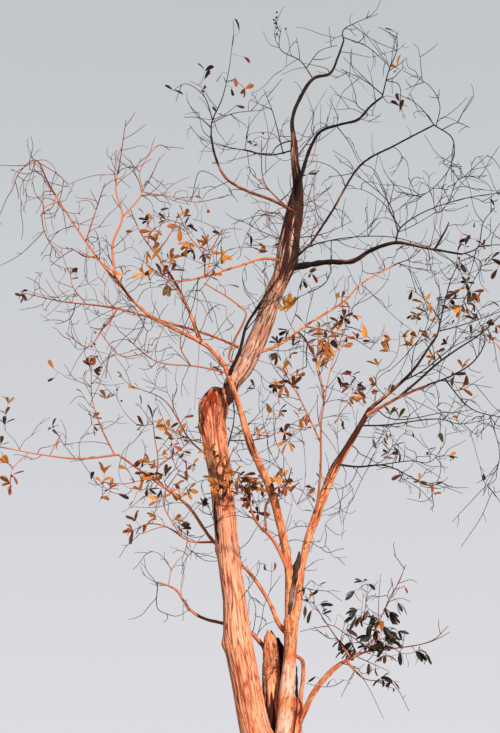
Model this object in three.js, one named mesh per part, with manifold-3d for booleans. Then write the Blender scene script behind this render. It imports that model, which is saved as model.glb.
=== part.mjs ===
// A tall open-grown tree in winter. A short bole divides above head height into a leaning
// main stem, which was pollarded long ago and ends in a swollen knob, a second stem that
// forks into smooth boughs, and a dead broken snag. A new upper trunk springs from behind
// the knob. Long sinuous boughs carry sparse twigs, and some of those still hold leaves.
//
// Sizes are in millimetres. +Z is up, +Y leads away from the side seen in a front view,
// and the origin is the centre of the flat cut under the bole, at ground level.

import * as THREE from 'three';
import { mergeVertices } from 'three/addons/utils/BufferGeometryUtils.js';
import Module from 'manifold-3d';

const wasm = await Module();
wasm.setup();

// Clearance that neighbouring pieces keep, and how far a shape is swollen to cut it.
const CLEARANCE = 0.36;
const TIP_CLEARANCE = 0.45;
// Shortest detail that is kept where a shape is cut by its neighbour, and where twigs and
// leaves of one mass run into each other.
const FINEST = 0.05;
const COARSEST = 1.2;
const TIDY_ROUNDS = 3;

// Bark collar where a bough leaves its parent: swelling as a share of the radius, and its run.
const COLLAR = 0.45;
const COLLAR_RUN = 70;
// Root flare of the bole: lobes, their depth as a share, and the height at which they fade.
const FLARE_LOBES = 5;
const FLARE_DEPTH = 0.1;
const FLARE_HEIGHT = 260;

// Side twigs: how far apart they spring from a stem, how far round it each next one stands
// in radians, their thickness at the foot and tip, and the room left round them.
const TWIG_EVERY = 500;
const TWIG_TURN = 2.4;
const TWIG_THICK = 13;
const TWIG_TIP = 10;
const TWIG_SIDES = 3;
const TWIG_PARTS = 2;
const TWIG_ROOM = 26;
// Where a twig stands in its own stretch of the stem, its lean off the stem in radians and
// its length as a share of the mass's reach: each has a least value and what chance may add.
const TWIG_PLACE = [0.42, 0.5];
const TWIG_LEAN = [0.7, 0.45];
const TWIG_LENGTH = [0.55, 0.75];
// Chance in the turn, length lost towards the stem's tip, and bend and rise of a twig's end.
const TURN_CHANCE = 0.7;
const TWIG_FADE = 0.45;
const TWIG_BEND = 0.5;
const TWIG_RISE = 0.22;

// Lengths of tube between two rows of a limb and of a mass's stem, and how much finer the
// lines are on which other pieces are seated.
const LIMB_PARTS = 1.5;
const STEM_PARTS = 1.34;
const FINE_PARTS = 8;
// Foot of a side stem as a share of the stem's thickness there.
const SIDE_FOOT = 0.8;

// Leaves: length from base to tip, width as a share of it, thickness, and count in a rosette.
const LEAF_LONG = 170;
const LEAF_WIDE = 0.36;
const LEAF_WIDEST = 0.62;
const LEAF_THICK = 6;
const LEAF_THICKEST = 0.25;
const LEAF_SUNK = 6;
const LEAF_DROOP = 0.09;
const ROSETTE = [1, 3];
// Chance in a leaf's length, its lean off the twig, how far behind the twig's end it stands,
// how far it hangs, and how much readier a stem's own end is to bear leaves than a twig's.
const LEAF_LENGTH = [0.75, 0.45];
const LEAF_LEAN = [0.65, 0.55];
const LEAF_BACK = [6, 12];
const LEAF_HANG = 0.25;
const END_LEAFY = 1.3;

const UP = new THREE.Vector3(0, 0, 1);

const BARK = {
  stem: { color: 0xd98f6c, roughness: 0.95, metalness: 0 },
  dead: { color: 0x9a5a40, roughness: 1, metalness: 0 },
  smooth: { color: 0xd79274, roughness: 0.8, metalness: 0 },
  dark: { color: 0x5c4540, roughness: 0.9, metalness: 0 },
};
const SPRAY = {
  bare: { color: 0x6b4c44, roughness: 0.9, metalness: 0 },
  amber: { color: 0xb9783a, roughness: 0.7, metalness: 0 },
  green: { color: 0x4c4a30, roughness: 0.7, metalness: 0 },
};

// The limbs, from the bole outwards. Each row is a place on the limb's centre line and the
// limb's thickness there: x, y, z, thickness, and on the bole also the depth from front to
// back. A limb's first place is drawn onto the centre line, or the tip, of the limb it is on.
const LIMBS = [
  {
    name: 'trunk',
    bark: 'stem',
    sides: 15,
    steps: 34,
    flare: true,
    rows: [
      [0, 0, 0, 950, 830],
      [0, 0, 130, 820, 690],
      [0, 0, 420, 700, 580],
      [-10, 0, 1000, 645, 520],
      [-20, 0, 1900, 630, 480],
      [-40, 0, 2600, 660, 470],
      [-130, 0, 2900, 500, 420],
      [-200, 0, 3090, 340, 340],
      [-320, 0, 3680, 322, 322],
      [-410, 0, 4140, 320, 320],
      [-450, 0, 4600, 262, 262],
      [-530, 0, 5240, 262, 262],
      [-610, 0, 6010, 258, 258],
      [-690, 0, 6530, 300, 300],
      [-705, 0, 6840, 368, 350],
      [-670, 0, 7030, 300, 290],
      [-655, 0, 7130, 170, 170],
    ],
  },
  {
    name: 'snag',
    on: 'trunk',
    bark: 'dead',
    sides: 8,
    rows: [
      [0, 90, 2500, 190],
      [-20, 110, 3100, 190],
      [-30, 110, 3810, 196],
      [-32, 110, 4060, 176],
      [-50, 110, 4230, 60],
    ],
  },
  {
    name: 'east_stem',
    on: 'trunk',
    bark: 'smooth',
    sides: 10,
    rows: [
      [40, -50, 2450, 210],
      [110, -100, 3090, 190],
      [140, -100, 3450, 180],
      [180, -100, 3900, 140],
      [190, -100, 4150, 152],
      [195, -100, 4330, 176],
      [200, -100, 4400, 130],
    ],
  },
  {
    name: 'inner_west_stem',
    on: 'east_stem',
    bark: 'smooth',
    sides: 8,
    rows: [
      [185, -100, 4200, 110],
      [178, -100, 4520, 102],
      [180, -120, 4860, 98],
      [120, -160, 5260, 100],
      [-30, -240, 5840, 98],
      [-260, -300, 6350, 92],
      [-400, -340, 6830, 76],
      [-560, -360, 7300, 70],
    ],
  },
  {
    name: 'east_bough',
    on: 'east_stem',
    bark: 'smooth',
    sides: 8,
    rows: [
      [215, -90, 4220, 100],
      [272, -80, 4470, 92],
      [330, -50, 4940, 82],
      [400, -30, 5290, 93],
      [510, 0, 5590, 105],
      [710, 50, 6120, 105],
      [870, 80, 6400, 88],
      [1170, 100, 6910, 70],
    ],
  },
  {
    name: 'upper_trunk',
    on: 'trunk',
    bark: 'dark',
    sides: 12,
    rows: [
      [-640, 60, 6860, 100],
      [-560, 130, 7050, 120],
      [-480, 120, 7240, 170],
      [-350, 100, 7420, 228],
      [-190, 80, 7770, 240],
      [-30, 50, 8210, 208],
      [120, 20, 8590, 220],
      [175, 0, 8780, 262],
      [250, 0, 9240, 236],
      [290, 0, 9480, 194],
      [325, 0, 9740, 128],
      [290, 0, 10110, 100],
      [280, 0, 10370, 86],
    ],
  },
  {
    name: 'top_leader',
    on: 'upper_trunk',
    tip: true,
    bark: 'dark',
    sides: 6,
    rows: [
      [280, 0, 10370, 80],
      [265, 30, 10680, 58],
      [380, 60, 11020, 60],
      [550, 100, 11290, 56],
      [750, 140, 11370, 48],
      [860, 170, 11620, 38],
      [940, 200, 11870, 32],
    ],
  },
  {
    name: 'second_leader',
    on: 'upper_trunk',
    bark: 'dark',
    sides: 6,
    rows: [
      [300, -60, 9350, 74],
      [360, -200, 9790, 62],
      [480, -300, 10150, 55],
      [600, -400, 10310, 48],
      [810, -500, 10350, 43],
      [1050, -620, 10370, 42],
      [1200, -700, 10510, 36],
      [1330, -800, 10580, 30],
    ],
  },
  {
    name: 'upper_west_bough',
    on: 'upper_trunk',
    bark: 'dark',
    sides: 6,
    rows: [
      [270, 20, 9430, 60],
      [10, 200, 9650, 52],
      [-300, 500, 9900, 50],
      [-580, 800, 10210, 48],
      [-720, 1000, 10580, 44],
      [-790, 1100, 10950, 38],
    ],
  },
  {
    name: 'mid_west_bough',
    on: 'upper_trunk',
    bark: 'smooth',
    sides: 6,
    rows: [
      [165, -20, 8740, 52],
      [-90, -350, 8660, 44],
      [-450, -750, 8400, 38],
      [-750, -1100, 8170, 34],
    ],
  },
  {
    name: 'right_bough',
    on: 'upper_trunk',
    bark: 'dark',
    sides: 7,
    rows: [
      [150, 0, 8690, 110],
      [340, -40, 8680, 92],
      [640, -200, 8670, 73],
      [960, -450, 8590, 70],
      [1170, -600, 8670, 62],
      [1450, -750, 8710, 53],
      [1760, -950, 8570, 42],
      [2170, -1200, 8390, 30],
    ],
  },
  {
    name: 'west_bough',
    on: 'inner_west_stem',
    tip: true,
    bark: 'smooth',
    sides: 7,
    rows: [
      [-560, -360, 7300, 70],
      [-760, -450, 7510, 65],
      [-920, -550, 7580, 60],
      [-1180, -750, 7650, 54],
      [-1450, -950, 7750, 50],
      [-1660, -1100, 7920, 46],
      [-1810, -1300, 8100, 42],
    ],
  },
  {
    name: 'arch_bough',
    on: 'inner_west_stem',
    bark: 'dark',
    sides: 6,
    rows: [
      [-530, -355, 7200, 60],
      [-390, -420, 7480, 52],
      [-310, -450, 7780, 47],
      [-130, -500, 8050, 42],
      [180, -600, 8470, 42],
      [450, -750, 8700, 40],
    ],
  },
  {
    name: 'arch_bough_end',
    on: 'arch_bough',
    tip: true,
    bark: 'dark',
    sides: 6,
    rows: [
      [450, -750, 8700, 40],
      [690, -950, 9020, 36],
      [1030, -1200, 9510, 34],
      [1420, -1400, 9670, 29],
      [1850, -1600, 9830, 24],
    ],
  },
  {
    name: 'right_back_bough',
    on: 'upper_trunk',
    bark: 'smooth',
    sides: 6,
    rows: [
      [-240, 90, 7560, 58],
      [50, 200, 7730, 48],
      [430, 500, 8100, 38],
      [910, 800, 8510, 38],
      [1180, 1000, 8840, 33],
      [1650, 1300, 9210, 26],
    ],
  },
  {
    name: 'west_back_bough',
    on: 'arch_bough',
    bark: 'smooth',
    sides: 6,
    rows: [
      [-370, -430, 7500, 44],
      [-670, -100, 7740, 42],
      [-1000, 200, 7950, 42],
      [-1380, 400, 8130, 40],
      [-1900, 600, 8350, 38],
    ],
  },
  {
    name: 'north_west_bough',
    on: 'west_bough',
    bark: 'smooth',
    sides: 6,
    rows: [
      [-850, -500, 7560, 58],
      [-990, -600, 7910, 49],
      [-1130, -550, 8230, 45],
      [-1310, -400, 8570, 38],
      [-1390, -300, 8730, 35],
    ],
  },
  {
    name: 'low_west_bough',
    on: 'east_stem',
    bark: 'smooth',
    sides: 7,
    rows: [
      [170, -90, 4180, 74],
      [80, -10, 4290, 66],
      [-80, 160, 4660, 58],
      [-350, 260, 5040, 53],
      [-700, 330, 5340, 53],
      [-1020, 500, 5810, 48],
      [-1440, 700, 6170, 39],
      [-1900, 900, 6540, 36],
    ],
  },
  {
    name: 'dead_branch',
    on: 'trunk',
    bark: 'dead',
    sides: 5,
    rows: [
      [-430, 0, 4300, 56],
      [-800, -100, 4370, 45],
      [-960, -200, 4460, 42],
      [-1120, -300, 4670, 36],
      [-1320, -400, 4740, 22],
    ],
  },
  {
    name: 'elbow_limb',
    on: 'trunk',
    bark: 'smooth',
    sides: 6,
    rows: [
      [170, 20, 2700, 90],
      [275, 20, 3200, 68],
      [300, 20, 3460, 66],
      [335, 10, 3740, 58],
      [325, -25, 3900, 57],
      [230, -70, 3960, 50],
    ],
  },
  {
    name: 'right_low_bough',
    on: 'trunk',
    bark: 'smooth',
    sides: 7,
    rows: [
      [180, -110, 2650, 110],
      [285, -125, 3200, 76],
      [430, -130, 3500, 58],
      [630, -160, 3750, 56],
      [760, -200, 3850, 52],
    ],
  },
  {
    name: 'north_east_bough',
    on: 'east_bough',
    tip: true,
    bark: 'dark',
    sides: 6,
    rows: [
      [1170, 100, 6910, 64],
      [1440, 300, 7180, 50],
      [1730, 500, 7500, 48],
      [1960, 750, 7870, 40],
      [2100, 900, 8100, 38],
    ],
  },
  {
    name: 'east_low_bough',
    on: 'east_bough',
    bark: 'smooth',
    sides: 6,
    rows: [
      [1120, 90, 6820, 60],
      [1480, -200, 6960, 47],
      [1790, -600, 7000, 40],
    ],
  },
  {
    name: 'back_bough',
    on: 'upper_trunk',
    bark: 'dark',
    sides: 6,
    rows: [
      [-60, 60, 8130, 66],
      [10, 450, 8550, 56],
      [150, 1000, 8950, 46],
      [290, 1500, 9500, 36],
    ],
  },
  {
    name: 'low_back_bough',
    on: 'trunk',
    bark: 'smooth',
    sides: 6,
    rows: [
      [-560, 0, 5560, 70],
      [-600, 420, 5880, 56],
      [-640, 950, 6250, 46],
      [-560, 1400, 6750, 36],
    ],
  },
];

// The twig masses. Each has one stem, whose rows are places on its centre line, and may have
// main side stems. thick is the stem's thickness at its foot and tip, reach the length of
// its longest twigs, leafy the share of twigs that end in leaves, and droop how far their
// tips turn down, or up where it is below nought.
const MASSES = [
  {
    name: 'top_twigs',
    on: 'top_leader',
    tip: true,
    spray: 'bare',
    thick: [30, 12],
    reach: 380,
    stem: [[940, 200, 11870], [930, 200, 12010], [1080, 260, 12150], [1410, 400, 12370]],
    sides: [
      [[935, 200, 11930], [1220, 90, 11740], [1490, -100, 11360]],
      [[1060, 240, 12140], [1340, 420, 12000], [1690, 700, 11990]],
    ],
  },
  {
    name: 'top_west_twigs',
    on: 'top_leader',
    spray: 'bare',
    thick: [26, 12],
    reach: 360,
    stem: [[540, 100, 11280], [370, 0, 11480], [110, -150, 11570], [120, -350, 11760]],
    sides: [[[450, 60, 11400], [640, 300, 11780], [870, 450, 11940]]],
  },
  {
    name: 'second_tip_twigs',
    on: 'second_leader',
    tip: true,
    spray: 'bare',
    leafy: 0.35,
    thick: [28, 12],
    reach: 360,
    stem: [[1330, -800, 10580], [1400, -950, 10840], [1490, -1150, 11030], [1480, -1300, 11170]],
    sides: [
      [[1390, -900, 10760], [1540, -800, 10740], [1550, -700, 10430]],
      [[1340, -820, 10600], [1090, -1200, 10600], [800, -1500, 10590]],
    ],
  },
  {
    name: 'curl_twigs',
    on: 'arch_bough_end',
    tip: true,
    spray: 'bare',
    thick: [24, 10],
    reach: 420,
    droop: 0.2,
    stem: [
      [1850, -1600, 9830],
      [2040, -1700, 9620],
      [1990, -1850, 9210],
      [1740, -2000, 8850],
      [1430, -2100, 8630],
    ],
    sides: [
      [[1870, -1600, 9820], [1920, -1640, 10050], [1820, -1600, 10320], [1530, -1500, 10570]],
      [[1940, -1640, 9780], [2080, -1800, 9760], [2190, -2100, 9560]],
      [[1865, -1600, 9825], [1680, -1900, 9890], [1490, -2200, 9890]],
    ],
  },
  {
    name: 'far_east_twigs',
    on: 'right_bough',
    spray: 'bare',
    thick: [34, 10],
    reach: 430,
    stem: [
      [1450, -750, 8710],
      [1490, -800, 8850],
      [1730, -900, 9010],
      [2220, -1000, 9160],
      [2720, -1100, 9210],
    ],
    sides: [
      [[1480, -790, 8830], [1370, -900, 9150], [1100, -950, 9400], [880, -1000, 9530]],
      [[2060, -960, 9120], [2160, -1200, 9320], [2450, -1500, 9240]],
    ],
  },
  {
    name: 'right_tip_twigs',
    on: 'right_bough',
    tip: true,
    spray: 'green',
    leafy: 0.5,
    thick: [28, 10],
    reach: 390,
    stem: [[2170, -1200, 8390], [2330, -1340, 8420], [2380, -1500, 8660], [2490, -1700, 8760]],
    sides: [
      [[2200, -1220, 8395], [2350, -1400, 8220], [2190, -1700, 7840], [2050, -1900, 7530]],
      [[2330, -1340, 8420], [2550, -1600, 8350], [2640, -1800, 8190]],
    ],
  },
  {
    name: 'crossing_twigs',
    on: 'arch_bough',
    spray: 'bare',
    thick: [36, 12],
    reach: 420,
    stem: [
      [-260, -460, 7880],
      [-150, -600, 8010],
      [340, -930, 8530],
      [650, -1170, 8570],
      [1280, -1600, 8450],
      [1720, -1900, 8210],
    ],
    sides: [
      [[340, -930, 8530], [190, -1300, 8680], [50, -1650, 8750]],
      [[650, -1170, 8570], [590, -1500, 7950], [250, -1700, 7680]],
    ],
  },
  {
    name: 'upper_west_twigs',
    on: 'upper_west_bough',
    tip: true,
    spray: 'amber',
    leafy: 0.35,
    thick: [36, 10],
    reach: 400,
    stem: [
      [-790, 1100, 10950],
      [-780, 1150, 11180],
      [-650, 1180, 11520],
      [-560, 1180, 11940],
      [-500, 1200, 12480],
    ],
    sides: [
      [[-770, 1160, 11200], [-890, 1200, 11580], [-1120, 1000, 11660], [-1300, 900, 11510]],
      [[-785, 1130, 11080], [-930, 900, 11110], [-1130, 600, 10980]],
      [[-775, 1150, 11150], [-480, 1600, 11520], [-100, 1900, 11710]],
    ],
  },
  {
    name: 'trunk_top_twigs',
    on: 'upper_trunk',
    spray: 'bare',
    thick: [34, 10],
    reach: 420,
    stem: [
      [285, 0, 10250],
      [10, 300, 10310],
      [-340, 900, 10650],
      [-690, 1500, 11000],
      [-1000, 1900, 11300],
    ],
    sides: [[[140, 130, 10290], [30, 500, 10980], [-90, 800, 11480]]],
  },
  {
    name: 'trunk_east_twigs',
    on: 'upper_trunk',
    spray: 'bare',
    thick: [26, 10],
    reach: 340,
    stem: [[290, 0, 10120], [460, 300, 10480], [620, 600, 10800], [760, 900, 11000]],
  },
  {
    name: 'trunk_front_twigs',
    on: 'upper_trunk',
    spray: 'bare',
    thick: [30, 10],
    reach: 420,
    stem: [[285, 0, 9400], [40, -600, 9360], [-120, -1150, 9360], [-140, -1700, 9600]],
  },
  {
    name: 'mid_west_twigs',
    on: 'mid_west_bough',
    tip: true,
    spray: 'amber',
    leafy: 0.55,
    thick: [32, 10],
    reach: 350,
    stem: [[-750, -1100, 8170], [-970, -1400, 8000], [-1200, -1800, 7870], [-1360, -2150, 7890]],
    sides: [
      [[-790, -1160, 8140], [-800, -1400, 8310], [-950, -1600, 8450], [-1080, -1800, 8660]],
      [[-770, -1130, 8150], [-710, -1050, 8500], [-600, -1000, 8770]],
    ],
  },
  {
    name: 'north_west_twigs',
    on: 'north_west_bough',
    tip: true,
    spray: 'amber',
    leafy: 0.6,
    thick: [33, 10],
    reach: 380,
    stem: [[-1390, -300, 8730], [-1490, -200, 8880], [-1660, 100, 9240], [-1780, 300, 9590]],
    sides: [[[-1410, -280, 8760], [-1260, -420, 8900], [-1140, -560, 9100]]],
  },
  {
    name: 'vertical_west_twigs',
    on: 'west_bough',
    tip: true,
    spray: 'bare',
    thick: [40, 10],
    reach: 420,
    stem: [
      [-1810, -1300, 8100],
      [-1850, -1300, 8460],
      [-1750, -1200, 8860],
      [-1830, -1250, 9170],
      [-1780, -1300, 9550],
      [-1720, -1350, 10020],
    ],
    sides: [
      [
        [-1750, -1200, 8860],
        [-1540, -1050, 9210],
        [-1580, -900, 9550],
        [-1360, -700, 9990],
        [-1240, -600, 9970],
      ],
      [[-1560, -1060, 9190], [-1280, -900, 9250], [-930, -600, 9290], [-500, -300, 9510]],
    ],
  },
  {
    name: 'far_west_twigs',
    on: 'west_bough',
    spray: 'bare',
    thick: [36, 10],
    reach: 420,
    droop: 0.35,
    stem: [
      [-1690, -1130, 7950],
      [-1980, -1340, 8250],
      [-2300, -1500, 8680],
      [-2550, -1650, 9060],
      [-2700, -1750, 9320],
      [-2870, -1800, 9150],
      [-2940, -1850, 8910],
    ],
    sides: [
      [[-2430, -1580, 8880], [-2600, -1720, 8730], [-2550, -1820, 8390], [-2370, -1900, 8100]],
      [[-2680, -1740, 9290], [-2480, -1500, 9260], [-2370, -1400, 9180]],
      [[-2110, -1430, 8480], [-2000, -1650, 8800], [-1900, -1850, 9000]],
      [[-1990, -1400, 8330], [-2110, -1750, 8160], [-2230, -2050, 8140]],
    ],
  },
  {
    name: 'west_back_twigs',
    on: 'west_back_bough',
    tip: true,
    spray: 'bare',
    leafy: 0.25,
    thick: [36, 10],
    reach: 430,
    stem: [[-1900, 600, 8350], [-2220, 900, 8500], [-2730, 1200, 8660], [-3290, 1500, 8890]],
    sides: [
      [[-1930, 640, 8370], [-2110, 500, 8040], [-2270, 400, 7780], [-2520, 200, 7900]],
      [[-2340, 1000, 8550], [-2600, 1400, 8950], [-2670, 1750, 9330]],
      [[-2120, 490, 8010], [-1890, 700, 7770], [-1510, 1000, 7910]],
    ],
  },
  {
    name: 'junction_twigs',
    on: 'inner_west_stem',
    spray: 'bare',
    thick: [30, 10],
    reach: 420,
    stem: [[-540, -358, 7240], [-850, -640, 7210], [-1340, -1240, 7100], [-1680, -1800, 7250]],
    sides: [[[-960, -780, 7180], [-1060, -1250, 7300], [-900, -1700, 7600], [-830, -2100, 7760]]],
  },
  {
    name: 'low_west_tip_twigs',
    on: 'low_west_bough',
    tip: true,
    spray: 'amber',
    leafy: 0.45,
    thick: [34, 10],
    reach: 420,
    stem: [
      [-1900, 900, 6540],
      [-2380, 950, 6500],
      [-2850, 900, 6540],
      [-3350, 750, 6600],
      [-3590, 700, 6610],
    ],
    sides: [
      [[-1940, 900, 6535], [-2160, 1100, 6980], [-2290, 1300, 7390], [-2330, 1500, 7870]],
      [[-2990, 870, 6550], [-3180, 700, 6300], [-3180, 600, 6050]],
      [[-2750, 910, 6530], [-2710, 1150, 6750], [-2670, 1300, 6900]],
    ],
  },
  {
    name: 'low_west_leaf_twigs',
    on: 'low_west_bough',
    spray: 'amber',
    leafy: 0.75,
    thick: [28, 10],
    reach: 360,
    stem: [[-1420, 690, 6160], [-1390, 500, 6390], [-1420, 350, 6600], [-1440, 150, 6800]],
    sides: [
      [[-1400, 560, 6310], [-1140, 900, 6600], [-1020, 1150, 6780]],
      [[-1410, 640, 6230], [-1740, 400, 6060], [-2040, 100, 6010]],
    ],
  },
  {
    name: 'lower_west_twigs',
    on: 'low_west_bough',
    spray: 'green',
    leafy: 0.55,
    thick: [34, 10],
    reach: 380,
    stem: [
      [-690, 325, 5330],
      [-980, 350, 5350],
      [-1260, 400, 5530],
      [-1460, 300, 5550],
      [-1640, 100, 5430],
    ],
    sides: [[[-1100, 370, 5420], [-1290, 0, 5770], [-1080, -350, 6060]]],
  },
  {
    name: 'trunk_leaf_twigs',
    on: 'trunk',
    spray: 'amber',
    leafy: 0.45,
    thick: [30, 10],
    reach: 400,
    stem: [[-640, 0, 6200], [-980, 300, 6560], [-1320, 800, 7200], [-1720, 1400, 7550]],
  },
  {
    name: 'stem_sprout_twigs',
    on: 'trunk',
    spray: 'green',
    leafy: 0.85,
    thick: [22, 10],
    reach: 330,
    stem: [[-560, 0, 5660], [-500, -300, 5760], [-550, -500, 6010], [-450, -650, 6250]],
  },
  {
    name: 'middle_twigs',
    on: 'inner_west_stem',
    spray: 'green',
    leafy: 0.6,
    thick: [62, 12],
    reach: 380,
    stem: [
      [178, -110, 4900],
      [-10, -350, 5230],
      [-200, -600, 5390],
      [-290, -850, 5570],
      [-400, -1100, 5800],
    ],
    sides: [[[-80, -440, 5300], [-90, -750, 5560], [110, -1050, 5670], [190, -1300, 5850]]],
  },
  {
    name: 'sprout_twigs',
    on: 'east_bough',
    spray: 'amber',
    leafy: 0.6,
    thick: [42, 10],
    reach: 420,
    stem: [
      [500, 0, 5560],
      [540, -400, 6040],
      [540, -800, 6530],
      [570, -900, 6740],
      [430, -1250, 7210],
      [250, -1500, 7350],
    ],
    sides: [
      [[560, -880, 6700], [670, -850, 7180], [900, -800, 7800]],
      [[530, -600, 6290], [300, -1000, 6710], [120, -1400, 6900]],
    ],
  },
  {
    name: 'right_back_side_twigs',
    on: 'right_back_bough',
    spray: 'amber',
    leafy: 0.5,
    thick: [28, 10],
    reach: 380,
    stem: [[420, 490, 8090], [740, 900, 8150], [1040, 1300, 8200], [1330, 1700, 8160]],
  },
  {
    name: 'right_back_tip_twigs',
    on: 'right_back_bough',
    tip: true,
    spray: 'bare',
    thick: [24, 10],
    reach: 420,
    stem: [[1650, 1300, 9210], [1880, 1600, 9410], [2080, 1900, 9680]],
    sides: [[[1680, 1330, 9230], [1960, 1400, 9170], [2190, 1500, 9180]]],
  },
  {
    name: 'north_east_tip_twigs',
    on: 'north_east_bough',
    tip: true,
    spray: 'green',
    leafy: 0.5,
    thick: [36, 10],
    reach: 420,
    stem: [[2100, 900, 8100], [2250, 1100, 8670], [2390, 1400, 9090], [2530, 1600, 9350]],
    sides: [
      [[2115, 920, 8150], [2450, 1100, 8300], [2970, 1300, 8550], [3230, 1400, 8680]],
      [[2150, 970, 8350], [2020, 1400, 8750], [1890, 1800, 9030]],
    ],
  },
  {
    name: 'north_east_side_twigs',
    on: 'north_east_bough',
    spray: 'amber',
    leafy: 0.6,
    thick: [30, 10],
    reach: 410,
    stem: [[1580, 400, 7330], [1810, 100, 7380], [2160, -300, 7570], [2470, -600, 7640]],
    sides: [[[1690, 260, 7350], [1730, 200, 7700], [1870, 200, 7940], [1930, 100, 8140]]],
  },
  {
    name: 'east_low_tip_twigs',
    on: 'east_low_bough',
    tip: true,
    spray: 'green',
    leafy: 0.5,
    thick: [38, 10],
    reach: 420,
    droop: 0.25,
    stem: [
      [1790, -600, 7000],
      [2010, -850, 7020],
      [2250, -1200, 7100],
      [2340, -1500, 7240],
      [2230, -1850, 7370],
    ],
    sides: [
      [[1970, -800, 7015], [2210, -1000, 6620], [2490, -1300, 6430], [2740, -1500, 6360]],
      [[2390, -1220, 6490], [2430, -1600, 5890], [2190, -1900, 5400]],
    ],
  },
  {
    name: 'east_low_side_twigs',
    on: 'east_bough',
    spray: 'bare',
    leafy: 0.3,
    thick: [34, 10],
    reach: 430,
    stem: [
      [1060, 95, 6720],
      [1370, 450, 6800],
      [2080, 900, 7000],
      [2400, 1250, 7030],
      [2840, 1500, 7170],
    ],
  },
  {
    name: 'low_right_twigs',
    on: 'east_bough',
    spray: 'bare',
    leafy: 0.25,
    thick: [42, 10],
    reach: 420,
    droop: 0.2,
    stem: [
      [760, 60, 6210],
      [1000, -130, 6140],
      [1290, -450, 6080],
      [1570, -800, 5850],
      [1790, -1050, 5670],
    ],
    sides: [[[1240, -390, 6100], [1600, -300, 6170], [1860, 0, 6230], [2050, 200, 6490]]],
  },
  {
    name: 'right_low_twigs',
    on: 'right_low_bough',
    tip: true,
    spray: 'green',
    leafy: 0.9,
    thick: [50, 12],
    reach: 400,
    every: 0.62,
    droop: 0.15,
    stem: [
      [760, -200, 3850],
      [1020, -300, 3960],
      [1290, -500, 3970],
      [1720, -800, 4020],
      [1890, -950, 4160],
    ],
    sides: [
      [[860, -240, 3900], [620, -560, 4190], [420, -800, 4440]],
      [[1080, -340, 3965], [1180, -200, 4280], [1420, 100, 4750], [1570, 300, 5060]],
      [[800, -215, 3870], [1000, -450, 3650], [1290, -700, 3600]],
    ],
  },
  {
    name: 'back_twigs',
    on: 'back_bough',
    tip: true,
    spray: 'bare',
    leafy: 0.2,
    thick: [34, 10],
    reach: 460,
    stem: [[290, 1500, 9500], [420, 1900, 10100], [480, 2250, 10700]],
    sides: [
      [[310, 1550, 9600], [-100, 1900, 9900], [-420, 2300, 10250]],
      [[330, 1620, 9700], [760, 1950, 9900], [1150, 2250, 10200]],
      [[320, 1580, 9640], [350, 2250, 9560], [420, 2750, 9650]],
    ],
  },
  {
    name: 'low_back_twigs',
    on: 'low_back_bough',
    tip: true,
    spray: 'amber',
    leafy: 0.4,
    thick: [34, 10],
    reach: 460,
    stem: [[-560, 1400, 6750], [-480, 1800, 7250], [-520, 2200, 7750]],
    sides: [
      [[-550, 1440, 6800], [-950, 1850, 6950], [-1350, 2300, 7250]],
      [[-540, 1480, 6860], [-80, 1850, 7000], [400, 2200, 7350]],
      [[-500, 1700, 7120], [-250, 2300, 7150], [-150, 2700, 7300]],
    ],
  },
];

// A repeatable run of numbers from 0 to 1, started by a name.
function drawsFor(name) {
  let state = 2166136261;
  for (const letter of name) state = Math.imul(state ^ letter.charCodeAt(0), 16777619) >>> 0;
  return () => {
    state = (state + 0x6d2b79f5) >>> 0;
    let mixed = Math.imul(state ^ (state >>> 15), 1 | state);
    mixed = (mixed + Math.imul(mixed ^ (mixed >>> 7), 61 | mixed)) ^ mixed;
    return ((mixed ^ (mixed >>> 14)) >>> 0) / 4294967296;
  };
}

// A value with its least and what chance may add to it.
function spread([least, more], draws) {
  return least + more * draws();
}

function vector(row) {
  return new THREE.Vector3(row[0], row[1], row[2]);
}

// A smooth line through the places, with a frame at each step that turns as little as it can.
function centreLine(places, steps, firstWay) {
  const curve = new THREE.CatmullRomCurve3(places, false, 'centripetal');
  const stations = [];
  let across;
  let before;
  let run = 0;
  for (let step = 0; step <= steps; step += 1) {
    const share = step / steps;
    const at = curve.getPoint(share);
    const way = step === 0 && firstWay ? firstWay.clone() : curve.getTangent(share);
    if (!across) {
      across = new THREE.Vector3(1, 0, 0);
      if (Math.abs(way.x) > 0.9) across.set(0, 1, 0);
      across.addScaledVector(way, -across.dot(way)).normalize();
    } else {
      across.applyQuaternion(new THREE.Quaternion().setFromUnitVectors(before, way));
    }
    if (step > 0) run += at.distanceTo(stations[step - 1].at);
    before = way;
    stations.push({ at, way, share, run, across: across.clone(), over: way.clone().cross(across) });
  }
  return stations;
}

// A value between the entries of a list, at a share of its length.
function between(list, share) {
  const place = share * (list.length - 1);
  const low = Math.min(Math.floor(place), list.length - 2);
  return list[low] + (list[low + 1] - list[low]) * (place - low);
}

function solidFrom(corners, faces) {
  const geometry = new THREE.BufferGeometry();
  geometry.setAttribute('position', new THREE.BufferAttribute(new Float32Array(corners), 3));
  geometry.setIndex(faces);
  const merged = mergeVertices(geometry, 1e-3);
  return new wasm.Manifold(
    new wasm.Mesh({
      numProp: 3,
      vertProperties: merged.attributes.position.array,
      triVerts: new Uint32Array(merged.index.array),
    }),
  );
}

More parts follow.
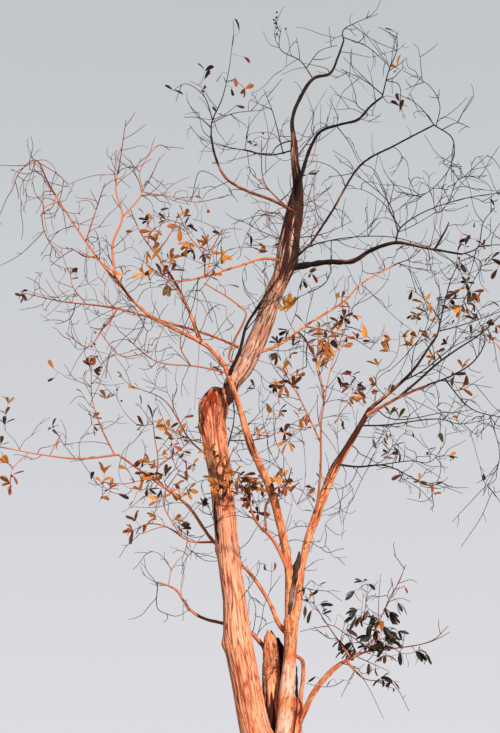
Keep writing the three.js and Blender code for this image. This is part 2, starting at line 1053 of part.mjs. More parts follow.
// A closed tube along a centre line. radiusAt gives a ring's reach across and over at an
// angle. A swell above nought makes the tube larger by that much all round, ends too.
function tube(stations, sides, radiusAt, swell = 0) {
  const corners = [];
  const faces = [];
  const last = stations.length - 1;
  const centres = stations.map(({ at, way }, ring) => {
    const outwards = (ring === last ? swell : 0) - (ring === 0 ? swell : 0);
    return at.clone().addScaledVector(way, outwards);
  });
  stations.forEach((station, ring) => {
    for (let side = 0; side < sides; side += 1) {
      const angle = (side / sides) * Math.PI * 2;
      const [wide, deep] = radiusAt(station, angle);
      const corner = centres[ring]
        .clone()
        .addScaledVector(station.across, (wide + swell) * Math.cos(angle))
        .addScaledVector(station.over, (deep + swell) * Math.sin(angle));
      corners.push(corner.x, corner.y, corner.z);
    }
  });
  const foot = corners.length / 3;
  corners.push(...centres[0].toArray());
  corners.push(...centres[last].toArray());
  for (let side = 0; side < sides; side += 1) {
    const next = (side + 1) % sides;
    faces.push(foot, next, side);
    faces.push(foot + 1, last * sides + side, last * sides + next);
    for (let ring = 0; ring < last; ring += 1) {
      const here = ring * sides;
      const above = here + sides;
      faces.push(here + side, here + next, above + next);
      faces.push(here + side, above + next, above + side);
    }
  }
  return solidFrom(corners, faces);
}

// The station of a limb's centre line that lies nearest to a place.
function nearest(stations, place) {
  return stations.reduce((best, station) =>
    station.at.distanceTo(place) < best.at.distanceTo(place) ? station : best,
  );
}

// The places that a limb or stem passes, with its first set on what carries it.
function seatedPlaces(rows, carrier, atTip) {
  const places = rows.map(vector);
  if (!carrier) return { places };
  if (!atTip) {
    places[0].copy(nearest(carrier.fine, places[0]).at);
    return { places };
  }
  const end = carrier.fine[carrier.fine.length - 1];
  places[0].copy(end.at).addScaledVector(end.way, TIP_CLEARANCE);
  return { places, firstWay: end.way };
}

// The part of a cut solid that has the most in it.
function largest(solid) {
  const bodies = solid.decompose();
  if (!bodies.length) throw new Error('a piece was cut away whole');
  return bodies.reduce((best, body) => (body.volume() > best.volume() ? body : best));
}

// The solid with its finest slivers closed up, its scraps dropped and sealed hollows filled.
function tidied(solid) {
  let kept = solid;
  for (let round = 0; round < TIDY_ROUNDS; round += 1) {
    const { vertProperties, triVerts } = kept.simplify(FINEST).getMesh();
    kept = largest(solidFrom(vertProperties, Array.from(triVerts)));
  }
  return kept;
}

function boxesMeet(one, other) {
  const a = one.boundingBox();
  const b = other.boundingBox();
  return [0, 1, 2].every((axis) => a.min[axis] < b.max[axis] && b.min[axis] < a.max[axis]);
}

// Places already taken, kept in cells, so that twigs stay clear of every other limb and mass.
const CELL = 250;
const taken = new Map();

function cellOf(place) {
  return [place.x, place.y, place.z].map((value) => Math.floor(value / CELL));
}

function take(place, radius, owner) {
  const key = cellOf(place).join();
  if (!taken.has(key)) taken.set(key, []);
  taken.get(key).push({ place, radius, owner });
}

function isFree(place, radius, owner) {
  const [x, y, z] = cellOf(place);
  for (let i = x - 1; i <= x + 1; i += 1) {
    for (let j = y - 1; j <= y + 1; j += 1) {
      for (let k = z - 1; k <= z + 1; k += 1) {
        const found = (taken.get([i, j, k].join()) || []).some(
          (other) =>
            other.owner !== owner &&
            other.place.distanceTo(place) < other.radius + radius + TWIG_ROOM,
        );
        if (found) return false;
      }
    }
  }
  return true;
}

// The limbs as solids, each cut clear of those before it.
const limbs = new Map();

function limbRadius(limb) {
  const wide = limb.rows.map((row) => row[3] / 2);
  const deep = limb.rows.map((row) => (row[4] || row[3]) / 2);
  return (station, angle) => {
    let factor = 1;
    if (limb.on) factor += COLLAR * Math.exp(-station.run / COLLAR_RUN) * (limb.tip ? 0 : 1);
    if (limb.flare) {
      const fade = Math.exp(-station.at.z / FLARE_HEIGHT);
      factor += FLARE_DEPTH * fade * Math.cos(FLARE_LOBES * angle);
    }
    return [between(wide, station.share) * factor, between(deep, station.share) * factor];
  };
}

for (const limb of LIMBS) {
  const carrier = limbs.get(limb.on);
  const { places, firstWay } = seatedPlaces(limb.rows, carrier, limb.tip);
  const steps = limb.steps || Math.round((limb.rows.length - 1) * LIMB_PARTS);
  const stations = centreLine(places, steps, firstWay);
  const fine = centreLine(places, steps * FINE_PARTS, firstWay);
  const radiusAt = limbRadius(limb);
  let solid = tube(stations, limb.sides, radiusAt);
  const swollen = tube(stations, limb.sides, radiusAt, CLEARANCE);
  for (const other of limbs.values()) {
    if (boxesMeet(solid, other.swollen)) solid = largest(solid.subtract(other.swollen));
  }
  limbs.set(limb.name, { ...limb, fine, swollen, solid: tidied(solid) });
  fine.forEach((station) => take(station.at, radiusAt(station, 0)[0], limb.name));
}

// Mass stems: the main one and its side stems, each a line with its thickness.
function massLines(mass) {
  const carrier = limbs.get(mass.on);
  const { places, firstWay } = seatedPlaces(mass.stem, carrier, mass.tip);
  const lineOf = (spots, thick, way) => {
    const parts = Math.round((spots.length - 1) * STEM_PARTS);
    return {
      thick,
      stations: centreLine(spots, parts, way),
      fine: centreLine(spots, parts * FINE_PARTS, way),
    };
  };
  const lines = [lineOf(places, mass.thick, firstWay)];
  for (const rows of mass.sides || []) {
    const spots = rows.map(vector);
    let root = { gap: Infinity };
    for (const line of lines) {
      const station = nearest(line.fine, spots[0]);
      const gap = station.at.distanceTo(spots[0]);
      if (gap < root.gap) root = { gap, station, line };
    }
    spots[0].copy(root.station.at);
    const foot = between(root.line.thick, root.station.share) * SIDE_FOOT;
    lines.push(lineOf(spots, [foot, mass.thick[1]]));
  }
  return lines;
}

function roundRadius(thick) {
  return (station) => {
    const radius = between(thick, station.share) / 2;
    return [radius, radius];
  };
}

// A leaf: a thin blade, widest towards its tip and thickest near its foot, with eight faces.
// It droops a little. Its foot is sunk through the middle of the twig that carries it.
function leafSolid(root, way, out, long) {
  const aside = way.clone().cross(out).normalize();
  const face = aside.clone().cross(way).normalize();
  const base = root.clone().addScaledVector(way, -LEAF_SUNK);
  const thickest = root.clone().addScaledVector(way, long * LEAF_THICKEST);
  const middle = root.clone().addScaledVector(way, long * LEAF_WIDEST);
  const tip = root.clone().addScaledVector(way, long).addScaledVector(face, -long * LEAF_DROOP);
  const half = (long * LEAF_WIDE) / 2;
  const points = [
    base,
    middle.clone().addScaledVector(aside, half),
    thickest.clone().addScaledVector(face, LEAF_THICK / 2),
    middle.clone().addScaledVector(aside, -half),
    thickest.clone().addScaledVector(face, -LEAF_THICK / 2),
    tip,
  ];
  const faces = [];
  for (let side = 1; side <= 4; side += 1) {
    const next = (side % 4) + 1;
    faces.push(0, side, next, 5, next, side);
  }
  const solid = solidFrom(points.flatMap((point) => point.toArray()), faces);
  return { solid, middle, tip, half };
}

// A twig that leaves a line at a station: where it passes, and its leaves.
function twigFrom(station, mass, turn, draws) {
  const lean = spread(TWIG_LEAN, draws);
  const long = mass.reach * (1 - TWIG_FADE * station.share) * spread(TWIG_LENGTH, draws);
  const way = station.way
    .clone()
    .multiplyScalar(Math.cos(lean))
    .addScaledVector(station.across, Math.sin(lean) * Math.cos(turn))
    .addScaledVector(station.over, Math.sin(lean) * Math.sin(turn));
  const bend = new THREE.Vector3(draws() - 0.5, draws() - 0.5, draws() - 0.5)
    .multiplyScalar(TWIG_BEND)
    .addScaledVector(UP, TWIG_RISE - (mass.droop || 0));
  const places = [];
  for (let part = 0; part <= TWIG_PARTS; part += 1) {
    const share = part / TWIG_PARTS;
    places.push(
      station.at
        .clone()
        .addScaledVector(way, long * share)
        .addScaledVector(bend, long * share * share),
    );
  }
  return centreLine(places, TWIG_PARTS);
}

function rosetteAt(station, draws) {
  const count = ROSETTE[0] + Math.floor(draws() * (ROSETTE[1] - ROSETTE[0] + 1));
  const first = draws() * Math.PI * 2;
  const leaves = [];
  for (let leaf = 0; leaf < count; leaf += 1) {
    const turn = first + (leaf / count) * Math.PI * 2 + (draws() - 0.5) * TURN_CHANCE;
    const lean = spread(LEAF_LEAN, draws);
    const long = LEAF_LONG * spread(LEAF_LENGTH, draws);
    const back = spread(LEAF_BACK, draws);
    const out = station.across
      .clone()
      .multiplyScalar(Math.cos(turn))
      .addScaledVector(station.over, Math.sin(turn));
    const way = station.way.clone().multiplyScalar(Math.cos(lean)).addScaledVector(out, Math.sin(lean));
    way.addScaledVector(UP, -LEAF_HANG).normalize();
    const base = station.at.clone().addScaledVector(station.way, -back);
    leaves.push(leafSolid(base, way, out, long));
  }
  return leaves;
}

// The masses' stems come first, so that no twig grows where another mass's stem will be.
const masses = MASSES.map((mass) => ({ ...mass, lines: massLines(mass) }));
for (const mass of masses) {
  for (const line of mass.lines) {
    for (const station of line.fine) take(station.at, between(line.thick, station.share) / 2, mass.name);
  }
}

for (const mass of masses) {
  const pieces = mass.lines.map((line) => tube(line.stations, TWIG_SIDES, roundRadius(line.thick)));
  const addLeaves = (station, draws) => {
    for (const leaf of rosetteAt(station, draws)) {
      const spots = [leaf.middle, leaf.tip];
      if (!spots.every((spot) => isFree(spot, leaf.half, mass.name))) continue;
      spots.forEach((spot) => take(spot, leaf.half, mass.name));
      pieces.push(leaf.solid);
    }
  };
  mass.lines.forEach((line, index) => {
    const last = line.fine.length - 1;
    const count = Math.max(1, Math.round(line.fine[last].run / (TWIG_EVERY * (mass.every || 1))));
    for (let twig = 0; twig < count; twig += 1) {
      const draws = drawsFor(`${mass.name} ${index} ${twig}`);
      const share = (twig + spread(TWIG_PLACE, draws)) / count;
      const turn = index + twig * TWIG_TURN + (draws() - 0.5) * TURN_CHANCE;
      const path = twigFrom(line.fine[Math.round(share * last)], mass, turn, draws);
      const free = path.slice(1).every((spot) => isFree(spot.at, TWIG_THICK / 2, mass.name));
      if (!free) continue;
      path.forEach((spot) => take(spot.at, TWIG_THICK / 2, mass.name));
      pieces.push(tube(path, TWIG_SIDES, roundRadius([TWIG_THICK, TWIG_TIP])));
      if (draws() < (mass.leafy || 0)) addLeaves(path[path.length - 1], draws);
    }
    const draws = drawsFor(`${mass.name} ${index} end`);
    if (draws() < (mass.leafy || 0) * END_LEAFY) addLeaves(line.fine[last], draws);
  });
  let solid = wasm.Manifold.union(pieces).simplify(COARSEST);
  for (const limb of limbs.values()) {
    if (boxesMeet(solid, limb.swollen)) solid = largest(solid.subtract(limb.swollen));
  }
  mass.solid = tidied(solid);
}

function meshOf(name, solid, finish) {
  const { vertProperties, triVerts } = solid.getMesh();
  const geometry = new THREE.BufferGeometry();
  geometry.setAttribute('position', new THREE.BufferAttribute(vertProperties, 3));
  geometry.setIndex(new THREE.BufferAttribute(triVerts, 1));
  geometry.computeVertexNormals();
  const mesh = new THREE.Mesh(geometry, new THREE.MeshStandardMaterial(finish));
  mesh.name = name;
  return mesh;
}

const group = new THREE.Group();
for (const limb of limbs.values()) group.add(meshOf(limb.name, limb.solid, BARK[limb.bark]));
for (const mass of masses) group.add(meshOf(mass.name, mass.solid, SPRAY[mass.spray]));

export default group;
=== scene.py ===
"""A tall open-grown tree in winter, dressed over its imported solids.

A short bole divides above head height into a leaning main stem, which was pollarded long
ago and ends in a swollen knob, a second stem that forks into smooth boughs, and a dead
broken snag. A new upper trunk springs from behind the knob. Long sinuous boughs carry a
thin mesh of twigs, and some of those still hold amber and dark leaves.

Places and thicknesses are in millimetres, as in the part's source. Meshes are in metres. The
drawn twigs and the sprays are held as pixels of the photograph and are given their depth here.
"""

import math
import random

import bpy
import numpy as np
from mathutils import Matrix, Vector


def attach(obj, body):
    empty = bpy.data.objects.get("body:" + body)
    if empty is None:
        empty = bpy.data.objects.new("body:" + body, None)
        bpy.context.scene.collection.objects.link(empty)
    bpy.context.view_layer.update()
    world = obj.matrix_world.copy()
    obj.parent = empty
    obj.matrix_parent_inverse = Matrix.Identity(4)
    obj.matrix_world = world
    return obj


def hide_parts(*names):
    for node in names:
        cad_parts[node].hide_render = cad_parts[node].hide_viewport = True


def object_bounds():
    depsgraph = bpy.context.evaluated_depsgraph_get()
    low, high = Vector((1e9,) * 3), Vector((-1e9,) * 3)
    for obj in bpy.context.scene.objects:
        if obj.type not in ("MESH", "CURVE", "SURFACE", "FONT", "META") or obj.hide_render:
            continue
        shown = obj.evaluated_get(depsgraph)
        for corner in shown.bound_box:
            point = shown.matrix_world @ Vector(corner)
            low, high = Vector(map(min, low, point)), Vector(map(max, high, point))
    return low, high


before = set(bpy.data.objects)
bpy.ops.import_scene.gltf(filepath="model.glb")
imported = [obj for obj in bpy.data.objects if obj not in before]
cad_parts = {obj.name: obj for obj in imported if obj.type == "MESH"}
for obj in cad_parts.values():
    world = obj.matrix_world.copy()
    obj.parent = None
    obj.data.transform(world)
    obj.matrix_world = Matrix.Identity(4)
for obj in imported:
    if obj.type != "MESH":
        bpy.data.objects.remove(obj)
cad_box = [list(corner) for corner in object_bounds()]

# The view. Somebody stands nineteen metres in front of the tree, a little to its left, holds
# the camera at eye height and tips it up, so that the frame's foot cuts the stems above the
# fork and its head just clears the crown.
EYE = (-0.27, -19.0, 1.6)
TIPPED_UP = math.radians(17.0)
FRAME_LONG = 733
FRAME_MIDDLE = (250, 366.5)
FOCAL_PIXELS = 1653
SENSOR = 36.0

lens = bpy.data.cameras.new("standing_view")
lens.sensor_width = SENSOR
lens.lens = SENSOR * FOCAL_PIXELS / FRAME_LONG
camera = bpy.data.objects.new("standing_view", lens)
camera.location = EYE
camera.rotation_euler = (math.pi / 2 + TIPPED_UP, 0, 0)
bpy.context.collection.objects.link(camera)
bpy.context.scene.camera = camera

# The bole and the leaning main stem. One piece of thick furrowed bark runs from the flat cut
# in the ground, over a lobed root flare and past the fork, to the knob that old pollard cuts
# have left. Warm light picks its plates out in salmon over dark red-brown fissures.
MM = 0.001
THIN_HALF = 16
THICK_HALF = 58
SLIMMEST = 0.68
COLLAR = 0.45
COLLAR_RUN = 70
LIMB_PARTS = 1.5
FINE_PARTS = 8
TIP_CLEARANCE = 0.45
FLARE_LOBES = 5
FLARE_DEPTH = 0.1
FLARE_HEIGHT = 260
TRACE = np.linspace(0, 1, 40)
limb_lines = {}
traced = []


def unit(vectors):
    """Each vector divided by its own length."""
    return vectors / np.linalg.norm(vectors, axis=-1, keepdims=True)


def curve_at(places, shares):
    """Points on a centripetal Catmull-Rom curve at shares of its run of places: each stretch is
    a cubic whose end slopes come from the root of the distance to the neighbouring places."""
    last = len(places) - 1
    spot = np.clip(shares, 0, 1) * last
    low = np.minimum(np.floor(spot).astype(int), last - 1)
    along = (spot - low)[:, None]
    padded = np.vstack([2 * places[0] - places[1], places, 2 * places[-1] - places[-2]])
    before, start, end, after = (padded[low + step] for step in range(4))
    gap0, gap1, gap2 = (
        np.sqrt(np.linalg.norm(far - near, axis=1, keepdims=True))
        for near, far in ((before, start), (start, end), (end, after))
    )
    out = (start - before) / gap0 - (end - before) / (gap0 + gap1) + (end - start) / gap1
    into = (end - start) / gap1 - (after - start) / (gap1 + gap2) + (after - end) / gap2
    out, into = out * gap1, into * gap1
    square = 3 * (end - start) - 2 * out - into
    cube = 2 * (start - end) + out + into
    return start + along * (out + along * (square + along * cube))


def centre_line(places, steps, first_way=None):
    """A smooth line through places, with a frame at each step that turns as little as it can:
    each frame is the one before, turned by the angle between the two directions."""
    share = np.linspace(0, 1, steps + 1)
    at = curve_at(places, share)
    reach = 1e-4
    way = unit(curve_at(places, share + reach) - curve_at(places, share - reach))
    if first_way is not None:
        way[0] = first_way
    across = np.zeros_like(way)
    side = np.array([0.0, 1, 0]) if abs(way[0][0]) > 0.9 else np.array([1.0, 0, 0])
    across[0] = unit(side - way[0] * (side @ way[0]))
    for step in range(steps):
        axis = np.cross(way[step], way[step + 1])
        held = across[step]
        turned = held * (way[step] @ way[step + 1]) + np.cross(axis, held)
        across[step + 1] = turned + axis * (axis @ held) / (1 + way[step] @ way[step + 1])
    run = np.concatenate([[0], np.cumsum(np.linalg.norm(np.diff(at, axis=0), axis=1))])
    return {"at": at, "way": way, "across": across, "over": np.cross(way, across),
            "share": share, "run": run}


def between(values, share):
    """A value between the entries of a list, at a share of its length."""
    return np.interp(share, np.linspace(0, 1, len(values)), values)


def seated(rows, carrier, at_tip):
    """The places that a limb or stem passes, the first drawn onto the nearest point of the
    line that carries it, or just past that line's end."""
    places = np.array([row[:3] for row in rows], float)
    if carrier is None:
        return places, None
    if at_tip:
        places[0] = carrier["at"][-1] + carrier["way"][-1] * TIP_CLEARANCE
        return places, carrier["way"][-1]
    gaps = np.linalg.norm(carrier["at"] - places[0], axis=1)
    places[0] = carrier["at"][np.argmin(gaps)]
    return places, None


def ripple(points, sizes, seed, waves=18):
    """Chance relief of about -1 to 1: the sum of sine waves that run in chance directions, each
    as long on an axis as that axis's size says, over the root of their number."""
    chance = np.random.default_rng(seed)
    ways = unit(chance.normal(size=(waves, 3))) * chance.uniform(0.7, 1.5, (waves, 1))
    phases = chance.uniform(0, 2 * np.pi, waves)
    return np.sin(2 * np.pi * (points / np.array(sizes)) @ ways.T + phases).sum(1) / math.sqrt(waves)


def put_mesh(name, vertices, faces, material, values=None):
    """A mesh object with smooth faces from arrays in millimetres, with its named values per
    vertex. It rides on the tree's one body."""
    mesh = bpy.data.meshes.new(name)
    mesh.vertices.add(len(vertices))
    mesh.vertices.foreach_set("co", (np.asarray(vertices) * MM).astype(np.float32).ravel())
    mesh.loops.add(faces.size)
    mesh.loops.foreach_set("vertex_index", faces.astype(np.int32).ravel())
    mesh.polygons.add(len(faces))
    mesh.polygons.foreach_set("loop_start", np.arange(0, faces.size, faces.shape[1], dtype=np.int32))
    mesh.update(calc_edges=True)
    mesh.validate()
    mesh.polygons.foreach_set("use_smooth", np.ones(len(mesh.polygons), bool))
    for label, data in (values or {}).items():
        kind, field = ("FLOAT", "value") if data.ndim == 1 else ("FLOAT_VECTOR", "vector")
        mesh.attributes.new(label, kind, "POINT").data.foreach_set(field, data.astype(np.float32).ravel())
    mesh.materials.append(material)
    piece = bpy.data.objects.new(name, mesh)
    bpy.context.collection.objects.link(piece)
    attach(piece, "root")
    return piece


def ring_faces(rings, around):
    """Quads between neighbouring rings of a tube, each ring's last side joined to its first."""
    ring, side = np.meshgrid(np.arange(rings - 1), np.arange(around), indexing="ij")
    here = (ring * around + side).ravel()
    beside = (ring * around + (side + 1) % around).ravel()
    return np.stack([here, beside, beside + around, here + around], 1)


ALONG_LIMB = 0.055
STREAK_WEIGHT = 1.6


def bark_effect():
    """The look of bark, as a group: plates of two tints in soft blotches, paler worn patches,
    dark streaks where a limb's shade-and-age value is high, which paint shade in forks and on
    shaded limbs as well as real ageing, and dark fissures where the mesh is furrowed and along
    fine cracks that follow the limb."""
    group = bpy.data.node_groups.new("weathered_bark", "ShaderNodeTree")
    face = group.interface
    for label, kind, value in (
        ("Plate", "NodeSocketColor", (0.6, 0.3, 0.2, 1)),
        ("Second Plate", "NodeSocketColor", (0.5, 0.25, 0.2, 1)),
        ("Worn", "NodeSocketColor", (0.7, 0.5, 0.4, 1)),
        ("Fissure", "NodeSocketColor", (0.1, 0.03, 0.02, 1)),
        ("Worn Share", "NodeSocketFloat", 0.3),
        ("Crack Share", "NodeSocketFloat", 0.5),
        ("Crack Scale", "NodeSocketFloat", 28.0),
        ("Shade And Age", "NodeSocketColor", (0.03, 0.015, 0.012, 1)),
    ):
        face.new_socket(name=label, in_out="INPUT", socket_type=kind).default_value = value
    face.new_socket(name="Color", in_out="OUTPUT", socket_type="NodeSocketColor")
    face.new_socket(name="Roughness", in_out="OUTPUT", socket_type="NodeSocketFloat")
    face.new_socket(name="Height", in_out="OUTPUT", socket_type="NodeSocketFloat")
    nodes, links = group.nodes, group.links
    given = nodes.new("NodeGroupInput")
    result = nodes.new("NodeGroupOutput")

    def node(kind, **settings):
        made = nodes.new(kind)
        for key, value in settings.items():
            setattr(made, key, value)
        return made

    def share_of(value, low, high, to_low, to_high):
        """A smooth step of a value between low and high, drawn onto two other numbers."""
        ramp = node("ShaderNodeMapRange", interpolation_type="SMOOTHSTEP")
        links.new(value, ramp.inputs["Value"])
        ends = {"From Min": low, "From Max": high, "To Min": to_low, "To Max": to_high}
        for socket, number in ends.items():
            ramp.inputs[socket].default_value = number
        return ramp.outputs["Result"]

    def mix(share, first, second):
        blend = node("ShaderNodeMix", data_type="RGBA")
        links.new(share, blend.inputs[0])
        links.new(first, blend.inputs[6])
        links.new(second, blend.inputs[7])
        return blend.outputs[2]

    def math_node(operation, first, second=None, number=None):
        sum_node = node("ShaderNodeMath", operation=operation)
        links.new(first, sum_node.inputs[0])
        if second is not None:
            links.new(second, sum_node.inputs[1])
        if number is not None:
            sum_node.inputs[1].default_value = number
        return sum_node.outputs[0]

    place = node("ShaderNodeAttribute", attribute_name="bark_place")
    furrow = node("ShaderNodeAttribute", attribute_name="furrow")
    shade_and_age = node("ShaderNodeAttribute", attribute_name="shade_and_age")
    pale = node("ShaderNodeAttribute", attribute_name="pale")
    stretched = node("ShaderNodeMapping")
    stretched.inputs["Scale"].default_value = (1, 1, ALONG_LIMB)
    links.new(place.outputs["Vector"], stretched.inputs["Vector"])

    def noise(vector, scale, detail, scale_from=None):
        grain = node("ShaderNodeTexNoise")
        links.new(vector, grain.inputs["Vector"])
        grain.inputs["Scale"].default_value = scale
        grain.inputs["Detail"].default_value = detail
        if scale_from is not None:
            links.new(scale_from, grain.inputs["Scale"])
        return grain.outputs["Fac"]

    cracks = noise(stretched.outputs["Vector"], 28, 5, scale_from=given.outputs["Crack Scale"])
    away = math_node("ABSOLUTE", math_node("SUBTRACT", cracks, number=0.5))
    crack = math_node("MULTIPLY", share_of(away, 0.0, 0.03, 1, 0), given.outputs["Crack Share"])
    blotch = noise(place.outputs["Vector"], 5.0, 4)
    patch = noise(place.outputs["Vector"], 2.3, 5)
    speck = noise(stretched.outputs["Vector"], 140, 3)
    plates = mix(share_of(blotch, 0.38, 0.62, 0, 1), given.outputs["Plate"], given.outputs["Second Plate"])
    worn = math_node("MULTIPLY", share_of(patch, 0.5, 0.66, 0, 1), given.outputs["Worn Share"])
    worn = math_node("MAXIMUM", worn, pale.outputs["Fac"])
    plates = mix(worn, plates, given.outputs["Worn"])
    streak = noise(stretched.outputs["Vector"], 24.0, 4)
    streaks = math_node("MULTIPLY", math_node("SUBTRACT", streak, number=0.5), number=STREAK_WEIGHT)
    # Painted shade, and real ageing: streaks darken the bark towards the shade-and-age colour where the
    # shade-and-age value is high.
    shade_and_grime = math_node("ADD", shade_and_age.outputs["Fac"], streaks)
    plates = mix(share_of(shade_and_grime, 0.50, 0.59, 0, 1), plates, given.outputs["Shade And Age"])
    deep = math_node("MAXIMUM", furrow.outputs["Fac"], crack)
    deep = math_node("MAXIMUM", deep, share_of(speck, 0.3, 0.6, 0.35, 0))
    links.new(mix(deep, plates, given.outputs["Fissure"]), result.inputs["Color"])
    links.new(share_of(blotch, 0.3, 0.7, 0.78, 0.96), result.inputs["Roughness"])
    raised = math_node("SUBTRACT", math_node("MULTIPLY", speck, number=0.25), crack)
    links.new(raised, result.inputs["Height"])
    return group


weathered_bark = bark_effect()


def bark_material(name, plate, second, worn, fissure, worn_share, crack_share, crack_scale, bump,
                  shade_and_age=(0.03, 0.015, 0.012)):
    """Bark of given tints: the weathered bark group feeds colour, roughness and a bump."""
    material = bpy.data.materials.new(name)
    material.use_nodes = True
    nodes, links = material.node_tree.nodes, material.node_tree.links
    shader = nodes["Principled BSDF"]
    effect = nodes.new("ShaderNodeGroup")
    effect.node_tree = weathered_bark
    for label, value in (
        ("Plate", (*plate, 1)),
        ("Second Plate", (*second, 1)),
        ("Worn", (*worn, 1)),
        ("Fissure", (*fissure, 1)),
        ("Shade And Age", (*shade_and_age, 1)),
        ("Worn Share", worn_share),
        ("Crack Share", crack_share),
        ("Crack Scale", crack_scale),
    ):
        effect.inputs[label].default_value = value
    relief = nodes.new("ShaderNodeBump")
    relief.inputs["Distance"].default_value = bump
    relief.inputs["Strength"].default_value = 0.8
    links.new(effect.outputs["Height"], relief.inputs["Height"])
    links.new(relief.outputs["Normal"], shader.inputs["Normal"])
    links.new(effect.outputs["Color"], shader.inputs["Base Color"])
    links.new(effect.outputs["Roughness"], shader.inputs["Roughness"])
    shader.inputs["Specular IOR Level"].default_value = 0.2
    return material


def slimmed(half):
    """Half a limb's thickness as its bark shows it: a thin limb is slimmer than its solid, and
    this fades out by a smooth step towards the thick ones."""
    step = np.clip((half - THIN_HALF) / (THICK_HALF - THIN_HALF), 0, 1)
    return half * (SLIMMEST + (1 - SLIMMEST) * step ** 2 * (3 - 2 * step))


FINER_ACROSS, FINER_ALONG = 0.5, 0.4
FINER_DEEP, FINER_WIDE = 0.6, 0.12
LUMP_ACROSS, LUMP_ALONG = 4, 7
GROOVE_TONE = 0.9
RIDGE_SHARE = 0.4


def grow_limb(name, rows, material, on=None, tip=False, steps=None, around=20, ring_gap=24,
              furrow=(42, 260, 2.0), lumps=0.05, flare=False, shape=None, dark=(0,), pale=(0,), node=None,
              line_wide=0.15):
    """One tapering limb of bark. Its rings stand on a smooth centre line through the rows, with
    the rows' thickness between them. A collar swells its foot as a falling power of the run,
    furrows are sunk where slow chance waves, stretched along the limb, pass through nought,
    and longer waves make it lumpy. furrow holds their width, length and depth, and line_wide how
    wide a furrow opens. dark says how far painted shade darkens the bark from the foot to the
    tip, where the foot sits in a fork and where the limb stands in the shaded crown, and pale
    how far it is worn. It replaces the node of its own name. A small piece in the bark of
    another limb replaces that node instead, and nothing grows from it."""
    carrier = limb_lines.get(on)
    places, first_way = seated(rows, carrier, tip)
    parts = steps or int((len(rows) - 1) * LIMB_PARTS + 0.5)
    fine = centre_line(places, parts * FINE_PARTS, first_way)
    wide = [row[3] / 2 for row in rows]
    deep = [(row[4] if len(row) > 4 else row[3]) / 2 for row in rows]
    fine["radius"] = between(wide, fine["share"])
    if node is None:
        limb_lines[name] = fine
        traced.append(curve_at(np.array([row[:3] for row in rows], float), TRACE))

    rings = max(12, int(fine["run"][-1] / ring_gap))
    line = centre_line(places, rings - 1, first_way)
    angle = np.linspace(0, 2 * np.pi, around, endpoint=False)[None, :]
    swell = np.ones((rings, 1))
    if on and not tip:
        swell += COLLAR * np.exp(-line["run"] / COLLAR_RUN)[:, None]
    if flare:
        fade = np.exp(-line["at"][:, 2:] / FLARE_HEIGHT)
        swell = swell + FLARE_DEPTH * fade * np.cos(FLARE_LOBES * angle)
    reach_across = slimmed(between(wide, line["share"]))[:, None] * swell
    reach_over = slimmed(between(deep, line["share"]))[:, None] * swell
    mean = float(np.mean(reach_across))
    seed = sum(map(ord, name))
    place = np.stack(
        [mean * np.cos(angle) + 0 * line["run"][:, None],
         mean * np.sin(angle) + 0 * line["run"][:, None],
         line["run"][:, None] + 0 * angle + seed], -1,
    ).reshape(-1, 3)
    wide_wave, long_wave, sunk = furrow
    wave = ripple(place, (wide_wave, wide_wave, long_wave), seed)
    fine_size = (wide_wave * FINER_ACROSS, wide_wave * FINER_ACROSS, long_wave * FINER_ALONG)
    finer = FINER_DEEP * np.exp(-((ripple(place, fine_size, seed + 1) / FINER_WIDE) ** 2))
    groove = np.maximum(np.exp(-((wave / line_wide) ** 2)), finer)
    lump_size = (mean * LUMP_ACROSS, mean * LUMP_ACROSS, mean * LUMP_ALONG)
    lump = ripple(place, lump_size, seed + 2) * lumps
    push = (-sunk * groove + sunk * RIDGE_SHARE).reshape(rings, -1)
    lump = lump.reshape(rings, -1)
    corners = (
        line["at"][:, None, :]
        + line["across"][:, None, :] * ((reach_across * (1 + lump) + push) * np.cos(angle))[..., None]
        + line["over"][:, None, :] * ((reach_over * (1 + lump) + push) * np.sin(angle))[..., None]
    )
    # The dark shares below are painted shade along the limb.
    values = {
        "furrow": groove * GROOVE_TONE, "bark_place": place * MM,
        "shade_and_age": (between(dark, line["share"])[:, None] + 0 * angle).ravel(),
        "pale": (between(pale, line["share"])[:, None] + 0 * angle).ravel(),
    }
    if shape:
        corners = shape(corners, line, angle, values)
    vertices = np.vstack([corners.reshape(-1, 3), line["at"][:1], line["at"][-1:]])
    vertices[-1] = corners[-1].mean(0)
    side = np.arange(around)
    beside = (side + 1) % around
    foot, head = rings * around, rings * around + 1
    top = (rings - 1) * around
    values = {label: np.concatenate([data, data[:1], data[-1:]]) for label, data in values.items()}
    skin = ring_faces(rings, around)
    halves = np.vstack([skin[:, [0, 1, 2]], skin[:, [0, 2, 3]]])
    caps = np.vstack([np.stack([np.full(around, foot), beside, side], 1),
                      np.stack([np.full(around, head), top + side, top + beside], 1)])
    piece = put_mesh(f"{name}_bark", vertices, np.vstack([halves, caps]), material, values)
    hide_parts(node or name)


furrowed = bark_material(
    "furrowed_bark", (0.88, 0.41, 0.255), (0.83, 0.31, 0.165), (0.92, 0.56, 0.43), (0.26, 0.028, 0.008),
    worn_share=0.5, crack_share=0.95, crack_scale=34, bump=0.014, shade_and_age=(0.26, 0.032, 0.012),
)


KNOB_HIGH, KNOB_REACH = 6800, 330
SCAR_HIGH, SCAR_REACH = 6990, 95
WEST_SHADE_HIGH, WEST_SHADE_REACH = 6780, 300
CLEFT_HIGH, CLEFT_REACH, CLEFT_WIDE, CLEFT_DEEP = 6760, 360, 0.28, 12
SLIT_HIGH, SLIT_REACH, SLIT_AT, SLIT_WIDE = 6985, 16, 4.72, 0.22
BURLS = ((32, 4110, 3.3), (26, 5200, 2.7), (22, 3500, 4.6), (30, 1500, 5.2))
BURL_REACH, BURL_WIDE = 70, 0.42


